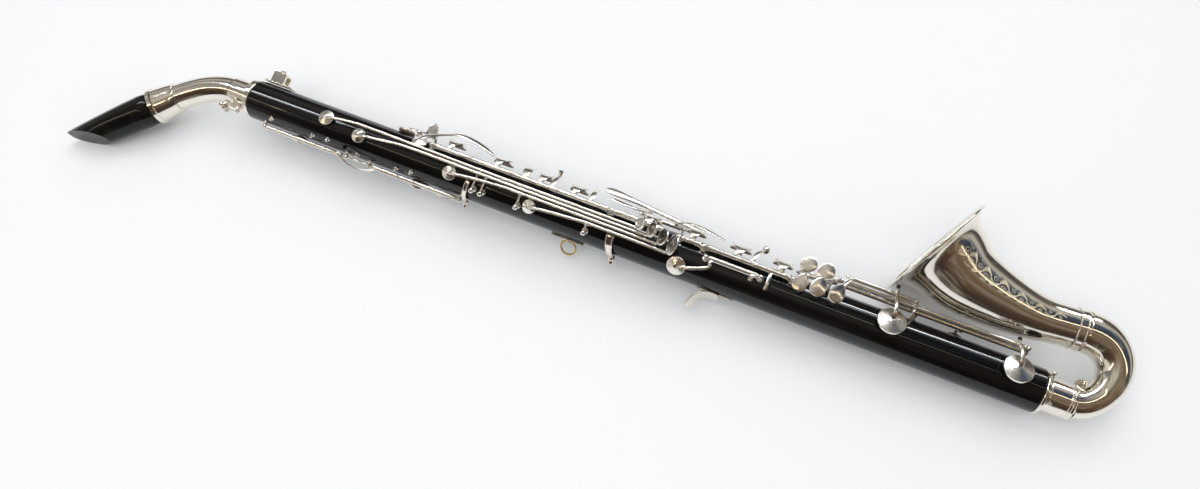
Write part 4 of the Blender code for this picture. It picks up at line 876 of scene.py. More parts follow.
build("mouthpiece_cork", CORK,
      [turned(MP_O, -MP_A, [(1.0, 10.65), (1.0, 11.1), (2.0, 11.4), (12.4, 11.4), (13.6, 11.1), (13.6, 10.65)], 20, loop=True)])

# bell end
build("body_end_ring", SILVER,
      [turned((BODY_L, 0, 0), (1, 0, 0), [(GAP, 8.8), (GAP, 15.0), (0.9, 15.4), (2.2, 15.3), (2.8, 14.2), (2.8, 8.8)], 32, loop=True)])
build("bell_socket", SILVER,
      [turned((BODY_L, 0, 0), (1, 0, 0),
              [(3.1, 8.8), (3.1, 13.2), (3.6, 13.1), (4.1, 12.3), (4.5, 12.0), (5.0, 12.2), (5.5, 11.9), (17.9, 11.65), (18.2, 12.1), (18.8, 12.2), (19.2, 11.7), (19.6, 11.7), (20.0, 12.15), (21.4, 12.1), (22.0, 11.6), (22.0, 8.8)],
              40, loop=True, ease=0.1)])


add_piece("bell_socket_rivet", "turned", [turned((621.8, -6.4, 10.9), (0, -0.5, 0.866), [(-1.2, 0), (-1.2, 0.95), (0.5, 0.95), (0.85, 0.6), (1.0, 0)], 12, ease=0.1),
                                          turned((619.6, 11.2, 5.6), (0.05, 0.9, 0.42), [(0, 0), (0, 1.5), (0.6, 1.6), (1.0, 1.0), (1.9, 0.9), (2.2, 1.5), (3.1, 1.7), (3.9, 1.3), (4.2, 0)], 14, ease=0.12)],
          "bell_socket", union=False)
BOW_PATH = [(620.0, 0, 0), (630.0, 0, 0), (637.0, 0, 0), (641.0, 0.4, 0), (646.2, 3.8, 0), (652.9, 11.8, 0), (656.6, 22.5, 0), (656.0, 33.0, 0), (650.9, 42.0, 0), (642.8, 47.4, 0), (634.5, 49.1, 0), (629.3, 48.8, 0), (624.1, 48.49, 0)]
BOW_LIP = 90.9
build("bell_bow", SILVER,
      [pipe(BOW_PATH, [(0, 8.2, 7.3), (17.9, 8.2, 7.3), (18.0, BOW_R0, 7.3), (19.0, BOW_R0, BOW_R0 - WALL), (39, BOW_R0 + 0.1, BOW_R0 - WALL), (69, 13.2, 13.2 - WALL), (81, BOW_R1, BOW_R1 - WALL), (BOW_LIP, BOW_R1, BOW_R1 - WALL), (BOW_LIP + 0.1, 13.2, 12.3), (BOW_LIP + 5.4, 13.2, 12.3)],
            24, step=11)])
add_piece("bell_bow_brace", "bell", [disc((641.8, 13.4, 3.2), (0.0, 0.66, 0.75), 7.6, 5.6, 0.9, 20, hint=(0.97, 0.2, 0), dish=0.4)], "bell_bow", union=False)
build("bow_ring", SILVER,
      [turned((629.0, 48.75, 0), (-1, -0.06, 0),
              [(-0.3, 13.9), (-0.3, 14.7), (0.0, 15.0), (0.45, 15.05), (0.8, 14.7), (1.5, 14.62), (4.4, 14.62), (4.8, 14.75), (5.1, 15.05), (5.6, 15.0), (6.05, 14.55), (6.05, 13.9)], 40, loop=True, ease=0.1)])
rim_n = Vector((math.cos(math.radians(BELL_RIM_ANGLE)), math.sin(math.radians(BELL_RIM_ANGLE)), 0))
rim_c = Vector((BELL_RIM_X, BELL_RIM_Y, 0))
BELL_PATH = [(622.9, 48.38, 0), (612, 47.6, 0), (600, 46.9, 0), (584, 48.3, 0), (565, 51.7, 0), (547, 56.7, 0), rim_c - rim_n * 11.0, rim_c]
BELL_PROFILE = [(0, 14.2), (14, 15.0), (28, 17.1), (48, 21.0), (68, 25.0), (87.0, 29.3), (96.0, 32.4), (101.2, 36.6), (104.4, BELL_RIM_R - 0.4)]
BELL_AT = along(BELL_PATH)
BELL_FINE = [(p.x, p.y) for p in smooth_path([(s, r, 0) for s, r in BELL_PROFILE], 6)]


def on_bell(s, b, lift):
    """A point on the bell's outside: s along it, b millimetres round it from the line that
    faces the player's right, lift above the metal."""
    p, d = BELL_AT(s)
    for (s0, r0), (s1, r1) in zip(BELL_FINE, BELL_FINE[1:]):
        if s <= s1:
            break
    r = r0 + (r1 - r0) * (s - s0) / (s1 - s0)
    u = (Vector((0, 0, 1)) - d * d.z).normalized()
    w = d.cross(u)
    t = b / r + math.radians(8.0)
    return p + (u * math.cos(t) + w * math.sin(t)) * (r + lift)


def stroke(points, width):
    """One cut of the engraving: a fine line with pointed ends, standing just proud."""
    n = len(points)
    verts, rows = [], []
    for i, (s, b) in enumerate(points):
        s0, b0 = points[max(i - 1, 0)]
        s1, b1 = points[min(i + 1, n - 1)]
        ds, db = s1 - s0, b1 - b0
        L = math.hypot(ds, db) or 1.0
        f = math.sin(math.pi * (0.06 + 0.88 * i / (n - 1))) ** 0.7 * width / 2
        ns, nb = -db / L * f, ds / L * f
        rows.append(list(range(len(verts), len(verts) + 4)))
        verts += [on_bell(s + ns, b + nb, -0.02), on_bell(s, b, 0.07), on_bell(s - ns, b - nb, -0.02), on_bell(s, b, -0.25)]
    faces = []
    for A, B in zip(rows, rows[1:]):
        for k in range(4):
            k2 = (k + 1) % 4
            faces.append((A[k], A[k2], B[k2], B[k]))
    faces += [tuple(reversed(rows[0])), tuple(rows[-1])]
    return closed(verts, faces)


def engrave():
    """A running band of leaf scrolls along the bell: a wavy stem, a volute in each bend, sprays
    of pointed leaves on its outer side and hatching between."""
    out = []
    S0, S1, PERIOD = 9.0, 93.0, 14.0

    def amp(s):
        return 1.9 + 2.3 * (s - S0) / (S1 - S0)

    def stem(s):
        return amp(s) * 0.62 * math.sin(2 * math.pi * (s - S0) / PERIOD)
    out.append(stroke([(S0 + (S1 - S0) * i / 140, stem(S0 + (S1 - S0) * i / 140)) for i in range(141)], 0.5))
    k = 0
    s = S0 + PERIOD / 4
    while s < S1 - 2:
        sgn = 1 if k % 2 == 0 else -1
        a = amp(s)
        cs, cb = s + 0.4, -sgn * a * 0.3
        R0 = 0.62 * a
        out.append(stroke([(cs + (R0 * (1 - 0.84 * t / 26)) * math.cos(sgn * (2 * math.pi * 1.5 * t / 26 + 2.2)),
                            cb + (R0 * (1 - 0.84 * t / 26)) * math.sin(sgn * (2 * math.pi * 1.5 * t / 26 + 2.2))) for t in range(27)], 0.34))
        for j in range(9):                      # a spray of leaves outside the bend
            x = s + (j - 4) * PERIOD / 17
            y = stem(x)
            L = a * (1.05 - 0.11 * abs(j - 4) + 0.12 * ((j + k) % 2))
            for side, w in ((-0.22, 0.2), (0.0, 0.34), (0.22, 0.2)):
                out.append(stroke([(x + L * t / 7 * 0.62 + side * math.sin(math.pi * t / 7) - 0.25 * math.sin(math.pi * t / 7),
                                    y + sgn * L * t / 7 * 0.86 - side * 0.5 * math.sin(math.pi * t / 7)) for t in range(8)], w))
        for j in range(6):                      # hatching inside the bend
            x = s + (j - 2.5) * 0.75
            y0 = -sgn * a * (0.98 + 0.04 * j)
            out.append(stroke([(x + 0.28 * t, y0 - sgn * a * 0.17 * t) for t in range(4)], 0.2))
        k += 1
        s += PERIOD / 2
    n = 24
    out.append(stroke([(S1 - 1 + 5.0 * math.sin(math.pi * t / n) + 1.5 * t / n, 6.2 * math.cos(math.pi * t / n)) for t in range(n + 1)], 0.4))
    add_piece("bell_scrollwork", "engraving", out, "bell", union=False)


build("bell", SILVER,
      [pipe(BELL_PATH, [(s, r, r - WALL) for s, r in BELL_FINE], 56, step=4.0),
       turned(rim_c, rim_n, [(1.1 * math.sin(2 * math.pi * k / 10) - 0.2, BELL_RIM_R - 0.98 + 1.1 * math.cos(2 * math.pi * k / 10)) for k in range(10)], 56, hint=(0, 0, 1), loop=True, ease=0)])
engrave()

# ================================================================ small fittings
build("lyre_socket", SILVER,
      [block((13.0, 16.75, 0), (24.0, 12.0, 1.6), (1, 0, 0), (0, 1, 0)),
       block((10.6, 21.6, 0), (11.6, 9.4, 9.6), (1, 0, 0), (0, 1, 0))],
      [box((10.6, 21.4, 0), (14.0, 5.6, 6.2), (1, 0, 0), (0, 1, 0)),
       rod((10.0, 23, 0), (10.0, 29, 0), 1.3, 10)])
build("lyre_screw", SILVER,
      [rod((10.0, 24.6, 0), (10.0, 28.0, 0), 0.95, 10),
       turned((10.0, 26.75, 0), (0, 1, 0), [(0, 0), (0, 2.2), (0.5, 2.5), (1.5, 2.5), (2.0, 2.0), (2.0, 0)], 14)],
      pivot=(10.0, 27, 0))
EYE = polar(278.5, 18.1, -112)
build("strap_plate", SILVER,
      [block(polar(277, 16.55, -112), (26.0, 9.0, 1.2), (1, 0, 0), polar(0, 1, -112)),
       turned(EYE, (1, 0, 0), [(-0.7, 1.5), (-0.7, 2.5), (0.7, 2.5), (0.7, 1.5)], 14, loop=True)],
      [])
RING_DIR = Vector((0, -math.cos(math.radians(40)), -math.sin(math.radians(40))))
RING_C = EYE + RING_DIR * 5.9
ring_n = Vector((1, 0, 0)).cross(RING_DIR)
build("strap_ring", BRASS,
      [turned(RING_C, ring_n, [(0.8 * math.sin(math.pi * k / 3), 5.9 + 0.8 * math.cos(math.pi * k / 3)) for k in range(6)], 24, hint=(1, 0, 0), loop=True)],
      pivot=EYE)
build("thumb_rest", SILVER,
      [wrap([(392.5, 16.45, -144), (392.5, 16.45, -118), (392.5, 16.45, -90)], 14.0, 0.55, per=3),
       swept([(396.0, -17.5, -4.2), (388.5, -17.8, -4.2), (383.0, -20.2, -4.0), (379.6, -25.6, -4.0), (377.6, -31.8, -4.0)], [7.0, 8.0, 8.6, 8.2, 5.0], [0.9, 0.9, 0.85, 0.8, 0.7], 8, hint=(1, 0.3, -0.05), per=2, sq=5)])

# ================================================================ side keys
def strap_ribs(points, offs):
    """Two raised beads along a strap, a little in from its edges."""
    out = []
    for sgn in (-1, 1):
        path = [(x + sgn * o, rad, phi) for (x, rad, phi), o in zip(points, offs)]
        out.append(wrap(path, 0.42, 0.34))
    return out


def barrel(c, direction, r):
    """A short hollow screw barrel; a near-black cylinder set in its bore is painted shade for the shadow inside."""
    d = Vector(direction).normalized()
    # painted shade: a dark cylinder fills part of the bore where its shadow falls
    extra("painted_recess_shade", turned(c + d * 1.2, d, [(0, 0), (0, r * 0.56), (2.35, r * 0.56), (2.35, 0)], 12, ease=0))
    return [turned(c, d, [(0, 0), (0, r * 0.8), (0.9, r), (3.3, r), (3.8, r * 0.86), (3.8, r * 0.6), (2.2, r * 0.56), (2.2, 0)], 14, ease=0.08)]


def cork_tip(p0, p1, r, share):
    """A pillar whose outer share is a cork bumper glued into a small cup."""
    p0, p1 = Vector(p0), Vector(p1)
    d = p1 - p0
    L = d.length
    extra("tip", turned(p0, d, [(L * (1 - share) - 0.4, 0), (L * (1 - share) - 0.4, r * 0.86), (L - 0.5, r * 0.9), (L - 0.1, r * 0.7), (L, r * 0.4), (L, 0)], 14, ease=0.1))
    return turned(p0, d, [(0, 0), (0, r * 0.9), (L * (1 - share) - 0.9, r * 0.8), (L * (1 - share) - 0.5, r), (L * (1 - share) + 0.4, r), (L * (1 - share) + 0.4, 0)], 14, ease=0.12)


SIDE = (
    # cup x, cup phi, cup radius, pivot x, touch x, touch y, touch half height
    (70.2, 9.8, 6.0, 200.4, 328.3, 8.9, 4.6),
    (100.8, -4.5, 5.5, 207.6, 337.3, 7.0, 5.2),
    (179.4, -12.5, 5.5, 236.7, 346.2, 5.0, 5.9),
    (245.8, -21.5, 5.25, 290.7, 354.6, 3.0, 7.0),
)
PIN_Z = 17.5
for i, (cx, cphi, cr, px, tx, ty, th) in enumerate(SIDE):
    y = SIDE_Y[i]
    top = polar(cx, 19.6, cphi)
    n_bar = 3 if i < 3 else 2
    bow = 1.1 if i == 0 else 0.0        # the first lever passes round the second key's cup
    path = [top, V(cx + 7, top.y * 0.85 + (y + bow) * 0.15, 20.7), V(cx + 22, (top.y + bow) * 0.45 + (y + bow) * 0.55, LEVER_Z), V(cx + 44, y + bow * 0.6, LEVER_Z), V(px, y, LEVER_Z),
            V((px + tx) / 2, y, LEVER_Z), V(tx - 9, y, LEVER_Z), V(tx - 3.0, y + 0.1, LEVER_Z + 0.8), V(tx - 0.3, ty - th * 0.35, 24.2)]
    tilt = math.radians(37)
    wide = (0.9, 0.7, 0.6, 0.9)[i]      # the touches reach a little further up than down
    tn = V(-math.sin(tilt), 0, math.cos(tilt))
    solids = [swept(path, [1.2] + [LEVER_W / 2] * 7 + [1.2], LEVER_T / 2, 8, per=2, sq=3.2),
              cup(cx, BODY_R + 0.45, cphi, cr),
              rod((px, y - 1.25, PIN_Z), (px, y + 1.25, PIN_Z), 1.8, 12),
              box((px, y, PIN_Z + 2.3), (2.6, 1.8, 2.2)),
              disc((tx, ty + (wide if i < 3 else -0.2), 25.3), tn, 4.9, th + wide, 2.0, 16, hint=(math.cos(tilt), 0, math.sin(tilt)), dish=1.0, crown=4.0)]
    build(f"side_key_{i + 1}", SILVER, solids, [rod((px, y - 3, PIN_Z), (px, y + 3, PIN_Z), TUBE_BORE, 10)], pivot=(px, y, PIN_Z))
    end = (8.0, 4.5, 1.6, -1.8)[i]
    build(f"side_key_{i + 1}_pivot", SILVER,
          post(px, -31, 20.4) + [rod((px, -10.5, PIN_Z), (px, end, PIN_Z), ROD_R, 10)])
build("lever_guide_upper", SILVER,
      [wrap([(195.4, 17.3, -14), (194.4, 17.5, -38), (193.8, 17.5, -62), (194.0, 17.6, -84)], [2.0, 1.9, 1.6, 1.4], 0.75)] + strap_ribs([(195.4, 18.0, -16), (194.4, 18.2, -38), (193.8, 18.2, -62), (194.0, 18.3, -82)], [1.25, 1.2, 1.0, 0.9])
      + [ball(polar(194.2, 18.0, -88), 2.0, axis=polar(0, 1, -88))] + barrel(polar(194.2, 18.4, -90), polar(0, 1, -118), 1.55))
build("lever_guide_lower", SILVER,
      [wrap([(310.0, 17.3, -17), (310.4, 17.5, -38), (311.5, 17.5, -62), (313.4, 17.8, -86)], [3.4, 3.0, 2.4, 1.8], 0.75)] + strap_ribs([(310.0, 18.0, -19), (310.4, 18.2, -38), (311.5, 18.2, -62), (313.4, 18.5, -84)], [2.35, 2.1, 1.6, 1.2])
      + [ball(polar(313.8, 18.4, -92), 2.6, axis=polar(0, 1, -92))] + barrel(polar(313.9, 18.8, -94), polar(0, 1, -112), 2.3))

# ================================================================ front keys, upper half
SP = polar(0, STACK_RAD, STACK_PHI)


def stack_key(name, x0, x1, cups, phi0=STACK_PHI, rad=STACK_RAD, extra=(), ends=90, arm_w=(2.0, 1.7), stand=STACK_OPEN):
    sp = polar(0, rad, phi0)
    solids = [tube_x(x0, x1, sp.y, sp.z)]
    for cx, r in cups:
        solids.append(cup(cx, BODY_R + 0.45, ends, r, 3.0))
        solids.append(wrap([(cx, rad, phi0 + 3), (cx, 20.6, phi0 + 14), (cx, 21.1, ends - 27), (cx, 20.9, ends - 15), (cx, 20.4, ends - 5), (cx, 19.9, ends + 4)],
                           [arm_w[0] * 1.05, arm_w[0] * 1.2, 0.56 * r, 0.9 * r, 0.92 * r, 0.6 * r], [0.85, 0.85, 0.8, 0.7, 0.6, 0.4]))
    solids.extend(extra)
    solids.extend(collars(x0, x1, sp.y, sp.z, [(x0 + 0.8, 1.1, 0.4), (x0 + 3.4, 0.9, 0.28), (x1 - 0.8, 1.1, 0.4), (x1 - 3.4, 0.9, 0.28)]))
    build(name, SILVER, solids, [tube_x(x0 - 2, x1 + 2, sp.y, sp.z, TUBE_BORE, 10)], pivot=(x0, sp.y, sp.z), stand=stand)


def arm(points, w, t, per=2):
    return swept(points, w, t, 8, hint=(0, 1, 0.4), per=per, sq=3)


stack_key("left_index_key", 159.6, 189.8, [(171, 7.2)])
stack_key("left_middle_key", 190.3, 223.8, [(210.5, 8.2)])
stack_key("left_ring_key", 224.3, 260.8, [(246.5, 6.4)],
          extra=[wrap([(233, 19.2, 43), (233, 20.8, 62), (233.5, 21.4, 80), (234, 21.6, 92)], [2.2, 3.4, 3.6, 2.6], 0.8, per=2),
                 wrap([(255, 19.2, 43), (255, 20.6, 60), (255.4, 22.0, 78), (255.4, 22.6, 84)], [1.6, 1.6, 1.6, 1.8], 0.9, per=2),
                 cork_tip(polar(255.4, 21.8, 84), polar(255.4, 27.0, 84), 2.0, 0.25)])
stack_key("upper_vent_key", 261.3, 300.4, [(273, 7.8)],
          extra=[wrap([(286, 19.2, 43), (286, 21.0, 62), (286, 22.0, 80), (286, 22.8, 90)], [1.6, 1.8, 2.0, 2.2], 0.8, per=2)])
stack_key("gsharp_key", 306.0, 343.0, [(331.5, 8.2)], stand=0.0,
          extra=[turned((307.6, SP.y, SP.z), (1, 0, 0), [(0, 0), (0, 2.3), (0.5, 2.95), (1.3, 2.95), (1.7, 2.6), (6.4, 2.6), (6.7, 2.9), (7.3, 2.9), (7.6, 2.6), (13.9, 2.6), (14.3, 2.95), (15.1, 2.95), (15.6, 2.3), (15.6, 0)], 20, ease=0.1),
                 turned(V(311.4, SP.y, SP.z) + polar(0, 2.3, 20), polar(0, 1, 20), [(0, 0), (0, 0.95), (0.6, 0.95), (0.95, 0.7), (1.1, 0)], 12, ease=0.1),
                 turned(V(318.2, SP.y, SP.z) + polar(0, 2.3, 20), polar(0, 1, 20), [(0, 0), (0, 0.95), (0.6, 0.95), (0.95, 0.7), (1.1, 0)], 12, ease=0.1)])
build("upper_stack_rod", SILVER,
      post(157.1, STACK_PHI, STACK_RAD) + post(303.2, STACK_PHI, STACK_RAD) + post(345.8, STACK_PHI, STACK_RAD)
      + [tube_x(156.5, 346.5, SP.y, SP.z, ROD_R, 10)])

# throat keys rock on cross pins
build("throat_gsharp_key", SILVER,
      [cup(127.5, BODY_R + 0.45, 90, 7.0),
       arm([(127.5, 20.2, 0), (133, 21.0, 0), (138, 21.4, 0), (143, 21.6, 0.5), (146, 22.4, 1.5)], [1.5, 2.0, 2.2, 2.2, 2.0], 0.9),
       rod((138.5, 19.6, -2.4), (138.5, 19.6, 2.4), 1.9, 12),
       disc((147.5, 24.2, 2.4), (0.88, -0.3, 0.38), 6.4, 5.0, 1.5, 16, hint=(0.25, 0.95, 0.15), dish=0.2)],
      [rod((138.5, 19.6, -4), (138.5, 19.6, 4), TUBE_BORE, 10)], pivot=(138.5, 19.6, 0))
build("throat_gsharp_pivot", SILVER,
      [rod((138.5, 19.6, -4.9), (138.5, 19.6, 4.9), ROD_R, 10),
       rod((138.5, 15.9, -3.9), (138.5, 19.6, -3.9), 1.1, 10), rod((138.5, 15.9, 3.9), (138.5, 19.6, 3.9), 1.1, 10),
       ball((138.5, 19.6, -3.9), 1.5, 8, 6, axis=(0, 1, 0)), ball((138.5, 19.6, 3.9), 1.5, 8, 6, axis=(0, 1, 0)),
       box((138.5, 16.2, 0), (3.0, 9.4, 0.7), (1, 0, 0), (0, 1, 0))])
TA = polar(0, 1, 39)
TA_T = Vector((0, math.cos(math.radians(39)), -math.sin(math.radians(39))))
ta_pin = polar(154.6, 21.0, 62)
pin_dir = Vector((0, math.cos(math.radians(62)), -math.sin(math.radians(62))))
build("throat_a_key", SILVER,
      [cup(146.6, BODY_R + 0.45, 39, 5.8),
       wrap([(146.6, 20.2, 39), (150.0, 21.9, 48), (154.6, 23.1, 62), (160.4, 25.0, 74), (167, 27.4, 81)], [1.6, 1.9, 2.1, 2.0, 1.9], 0.85, per=2),
       swept([(165.5, 26.6, 5.0), (171, 28.2, 4.0), (177, 28.6, 3.0), (185, 27.6, 2.2), (193, 25.6, 1.6), (200.5, 23.0, 1.0)], [1.7, 2.2, 2.7, 3.0, 2.8, 1.4], 0.8, hint=(0, 0.74, 0.68), sq=2.6),
       rod(ta_pin - pin_dir * 1.4, ta_pin + pin_dir * 1.4, 1.7, 12)],
      [rod(ta_pin - pin_dir * 4, ta_pin + pin_dir * 4, TUBE_BORE - 0.1, 10)], pivot=ta_pin)
build("throat_a_pivot", SILVER,
      [rod(ta_pin - pin_dir * 2.4, ta_pin + pin_dir * 3.4, ROD_R - 0.05, 10),
       rod(polar(154.6, 15.95, 62) + pin_dir * 3.1, ta_pin + pin_dir * 3.1, 1.0, 10), ball(ta_pin + pin_dir * 3.1, 1.3, 8, 6, axis=polar(0, 1, 62))])

# ================================================================ front keys, lower half
LOW_PHI, LOW_RAD = 36.0, 18.8
LP = polar(0, LOW_RAD, LOW_PHI)
stack_key("right_index_key", 358.6, 372.2, [(365.5, 8.0)], LOW_PHI, LOW_RAD)
stack_key("right_middle_key", 377.8, 411.6, [(399.4, 8.6)], LOW_PHI, LOW_RAD,
          extra=[wrap([(410, 19.4, 41), (411.0, 21.0, 60), (413.5, 22.4, 78), (415.5, 23.0, 86)], [1.5, 1.5, 1.4, 1.4], 0.8, per=2),
                 ball(polar(415.8, 23.4, 88), 3.0, 12, 8, axis=(0, 0, 1))])
stack_key("right_ring_key", 412.1, 437.0, [(430.7, 7.8)], LOW_PHI, LOW_RAD,
          extra=[wrap([(424.6, 18.9, 34), (424.6, 20.0, 24), (424.6, 21.2, 8), (424.6, 21.6, -7)], [1.5, 1.3, 1.2, 1.3], 0.8, per=2)])
build("lower_stack_rod", SILVER,
      post(356.2, LOW_PHI, LOW_RAD, r=2.0) + post(375.0, LOW_PHI, LOW_RAD) + post(439.8, LOW_PHI, LOW_RAD)
      + [tube_x(355.8, 440.5, LP.y, LP.z, ROD_R, 10)])

# side B-flat / F-sharp key: cup on the near side, long tube, sliver touch
SB = polar(0, 18.8, 12)
build("side_f_key", SILVER,
      [tube_x(381.2, 416.6, SB.y, SB.z, 1.9),
       cup(361.3, BODY_R + 0.45, -30, 7.0),
       swept([(383.4, SB.y, SB.z), (383.2, 0.6, 20.2), (382.6, -3.2, 20.0), (372.0, -7.4, 18.6), polar(362.0, 19.7, -30)], [1.3, 1.3, 1.3, 1.3, 1.3], 0.9, 8, hint=(0, 0, 1), per=3, sq=3),
       swept([(413, SB.y, SB.z + 0.4), (413.4, 2.4, 20.2), (412.6, -1.2, 19.6)], [1.4, 1.6, 1.8], 0.8, 8, hint=(0, 0, 1), per=2, sq=3)],
      [tube_x(379, 419, SB.y, SB.z, 1.15, 10)], pivot=(381.2, SB.y, SB.z))
build("side_f_rod", SILVER,
      post(379.0, 12, 18.8, r=1.95) + post(418.9, 12, 18.8, r=2.0) + [tube_x(378.6, 419.4, SB.y, SB.z, 0.85, 10)])

# ================================================================ left little-finger levers
L1, L2 = V(0, 22.8, -15.4), V(0, 21.6, -10.6)
BLADE = (0, 0.45, 0.9)
build("left_pinky_lever_1", SILVER,
      [tube_x(323.2, 352.4, L1.y, L1.z, 1.7),
       swept([(327.0, 24.0, -14.0), (326.6, 26.6, -11.6), (325.6, 27.6, -9.4)], [1.7, 1.7, 2.0], 0.9, hint=(0, 0.7, 0.7), sq=3),
       swept([(290.0, 29.0, -4.4), (294, 29.1, -4.4), (300, 28.9, -4.4), (307, 28.6, -5.0), (316, 28.2, -6.4), (326, 27.6, -8.6), (337, 26.9, -10.4), (348, 26.2, -11.8), (358, 25.7, -12.2), (366, 25.3, -11.8), (370, 25.2, -11.4)],
             [1.6, 3.1, 3.3, 2.8, 2.3, 2.2, 2.1, 2.1, 2.1, 2.0, 1.4], [0.6, 0.75, 0.8, 0.85, 0.9, 0.9, 0.9, 0.9, 0.85, 0.8, 0.7], hint=BLADE, sq=2.5),
       swept([(347, 23.6, -14.4), (347.6, 25.4, -13.0), (348, 26.0, -12.0)], [1.6, 1.6, 1.8], 0.85, hint=(0, 0.7, 0.7), sq=3)]
      + collars(323.2, 352.4, L1.y, L1.z, [(324.4, 1.0, 0.3), (351.2, 1.0, 0.3)], 1.7),
      [tube_x(321, 355, L1.y, L1.z, 1.1, 10)], pivot=(323.2, L1.y, L1.z))
build("left_pinky_lever_2", SILVER,
      [tube_x(323.2, 352.4, L2.y, L2.z, 1.7),
       swept([(330, 22.4, -9.6), (325.4, 23.2, -7.2), (320.5, 23.0, -3.4), (314, 22.7, -0.4), (306.8, 22.6, 1.4), (300.5, 22.8, 2.0), (297.6, 22.9, 2.2)],
             [1.4, 1.6, 1.8, 2.2, 2.8, 2.1, 1.0], [0.8, 0.8, 0.8, 0.75, 0.7, 0.65, 0.5], hint=(0, 0.72, 0.69), sq=2.5),
       swept([(347, 22.0, -10.2), (350.5, 24.9, -6.9), (357, 25.9, -1.8), (366, 26.0, 0.8), (373, 25.1, 1.8), (380, 23.6, 2.0), (386.4, 22.3, 1.9)],
             [1.4, 1.6, 1.9, 2.3, 2.7, 2.6, 1.3], [0.8, 0.8, 0.8, 0.75, 0.7, 0.65, 0.5], hint=(0, 0.78, 0.6), sq=2.5)]
      + collars(323.2, 352.4, L2.y, L2.z, [(324.4, 1.0, 0.3), (351.2, 1.0, 0.3)], 1.7),
      [tube_x(321, 355, L2.y, L2.z, 1.1, 10)], pivot=(323.2, L2.y, L2.z))
solids = []
for px in (320.8, 354.8):
    solids += [rod((px, 15.5, -6.4), (px, L2.y, L2.z), 1.2, 10), rod((px, L2.y, L2.z), (px, L1.y, L1.z), 1.15, 10), ball((px, L1.y, L1.z), 2.0, 10, 6, axis=(0, 0, 1)), ball((px, L2.y, L2.z), 1.9, 10, 6, axis=(0, 0, 1))]
build("left_pinky_rods", SILVER, solids + [tube_x(320.4, 355.2, L1.y, L1.z, 0.8, 8), tube_x(320.4, 355.2, L2.y, L2.z, 0.8, 8)])

# ================================================================ right little-finger keys
K_C1, K_C2, K_IN, K_LOW, K_SHORT = (26.0, 12.5), (22.6, 11.0), (20.2, 7.2), (23.3, 3.4), (17.2, 13.5)


def petal(c, n, rx, ry, h, t=1.5, egg=0.25):
    return disc(c, n, rx, ry, t, 16, hint=h, dome=0.75, egg=egg)


def kcut(x0, x1, k):
    return [tube_x(x0 - 2, x1 + 2, k[0], k[1], 1.05, 8)]


KR = 1.65
build("right_pinky_key_1", SILVER,      # outer petal, near upper cup
      [tube_x(475.0, 519.4, *K_C1, KR), petal((470.6, 10.6, 19.6), (0.25, -0.1, 1), 7.3, 5.4, (0.25, 1, 0)),
       arm([(472.0, 15.0, 19.4), (473.6, 19.0, 18.8), (476.0, 23.0, 17.4), (477.4, 26.0, 14.0)], [1.8, 1.6, 1.5, 1.4], 0.9),
       cup(510.1, BODY_R + 0.5, 20, 9.9, 4.0, 24, 2.0),
       arm([(508.4, 27.6, 13.6), (508.6, 24.0, 16.6), (509.2, 17.0, 20.6), (509.8, 11.4, 21.6), polar(510.1, 20.3, 20)], [1.5, 1.4, 1.4, 1.5, 2.0], 0.95),
       cork_tip(V(508.0, 26.6, 14.0), V(507.2, 32.6, 14.8), 1.5, 0.55)],
      kcut(475, 519.4, K_C1), pivot=(475.0, *K_C1), stand=-PINKY_OPEN)
build("right_pinky_key_2", SILVER,      # middle petal, lower cup
      [tube_x(466.6, 596.0, *K_C2, KR), petal((457.6, 10.2, 19.8), (0.1, -0.1, 1), 7.1, 5.5, (0.12, 1, 0)),
       arm([(459.4, 15.0, 19.5), (463.4, 17.6, 18.6), (467.4, 20.4, 16.0), (468.4, 22.6, 12.4)], [1.8, 1.6, 1.5, 1.4], 0.9),
       cup(594.6, BODY_R + 0.5, 18, 9.9, 4.0, 24, 2.0),
       arm([(592.0, 23.2, 12.2), (592.2, 21.4, 16.2), (593.0, 16.0, 20.0), (594.0, 10.4, 21.4), polar(594.6, 20.3, 18)], [1.5, 1.4, 1.4, 1.5, 2.0], 0.95),
       cork_tip(V(591.8, 22.4, 13.0), V(590.6, 27.4, 14.2), 1.5, 0.5)],
      kcut(466.6, 596, K_C2), pivot=(466.6, *K_C2), stand=-PINKY_OPEN)
build("right_pinky_key_3", SILVER,      # upper disc, cup on the far side
      [tube_x(443.6, 596.2, *K_IN, KR), petal((446.4, 25.6, 17.0), (-0.1, 0.2, 1), 6.0, 5.6, (1, 0, 0), 1.5, 0.0),
       arm([(446.6, 20.4, 7.6), (446.6, 22.6, 11.0), (446.6, 24.4, 14.0), (446.6, 25.2, 16.8)], [1.5, 1.4, 1.4, 2.2], 1.0),
       cup(557.0, BODY_R + 0.5, 150, 9.2, 3.4, 20, 1.6),
       wrap([(557, 20.6, 72), (557, 18.6, 90), (557, 20.9, 112), (557, 21.4, 132), (557, 20.2, 150)], [1.5, 1.5, 1.6, 1.6, 1.8], 0.85, per=2)],
      kcut(443.6, 597, K_IN), pivot=(443.6, *K_IN), stand=PINKY_FAR_OPEN)
build("right_pinky_key_4", SILVER,      # second disc, cup on the far side
      [tube_x(456.6, 572.0, *K_LOW, KR), petal((459.1, 25.8, 17.2), (-0.05, 0.2, 1), 6.0, 6.0, (1, 0, 0), 1.5, 0.0),
       arm([(459.0, 24.2, 4.0), (459.0, 26.6, 7.4), (459.0, 27.2, 12.0), (459.0, 26.2, 16.9)], [1.5, 1.4, 1.4, 2.0], 1.0),
       cup(528.0, BODY_R + 0.5, 150, 8.4, 3.4, 20, 1.6),
       wrap([(528, 23.0, 84), (528, 22.2, 98), (528, 21.6, 116), (528, 21.2, 134), (528, 20.2, 150)], [1.5, 1.5, 1.6, 1.6, 1.8], 0.85, per=2)],
      kcut(456.6, 572, K_LOW), pivot=(456.6, *K_LOW), stand=PINKY_FAR_OPEN)
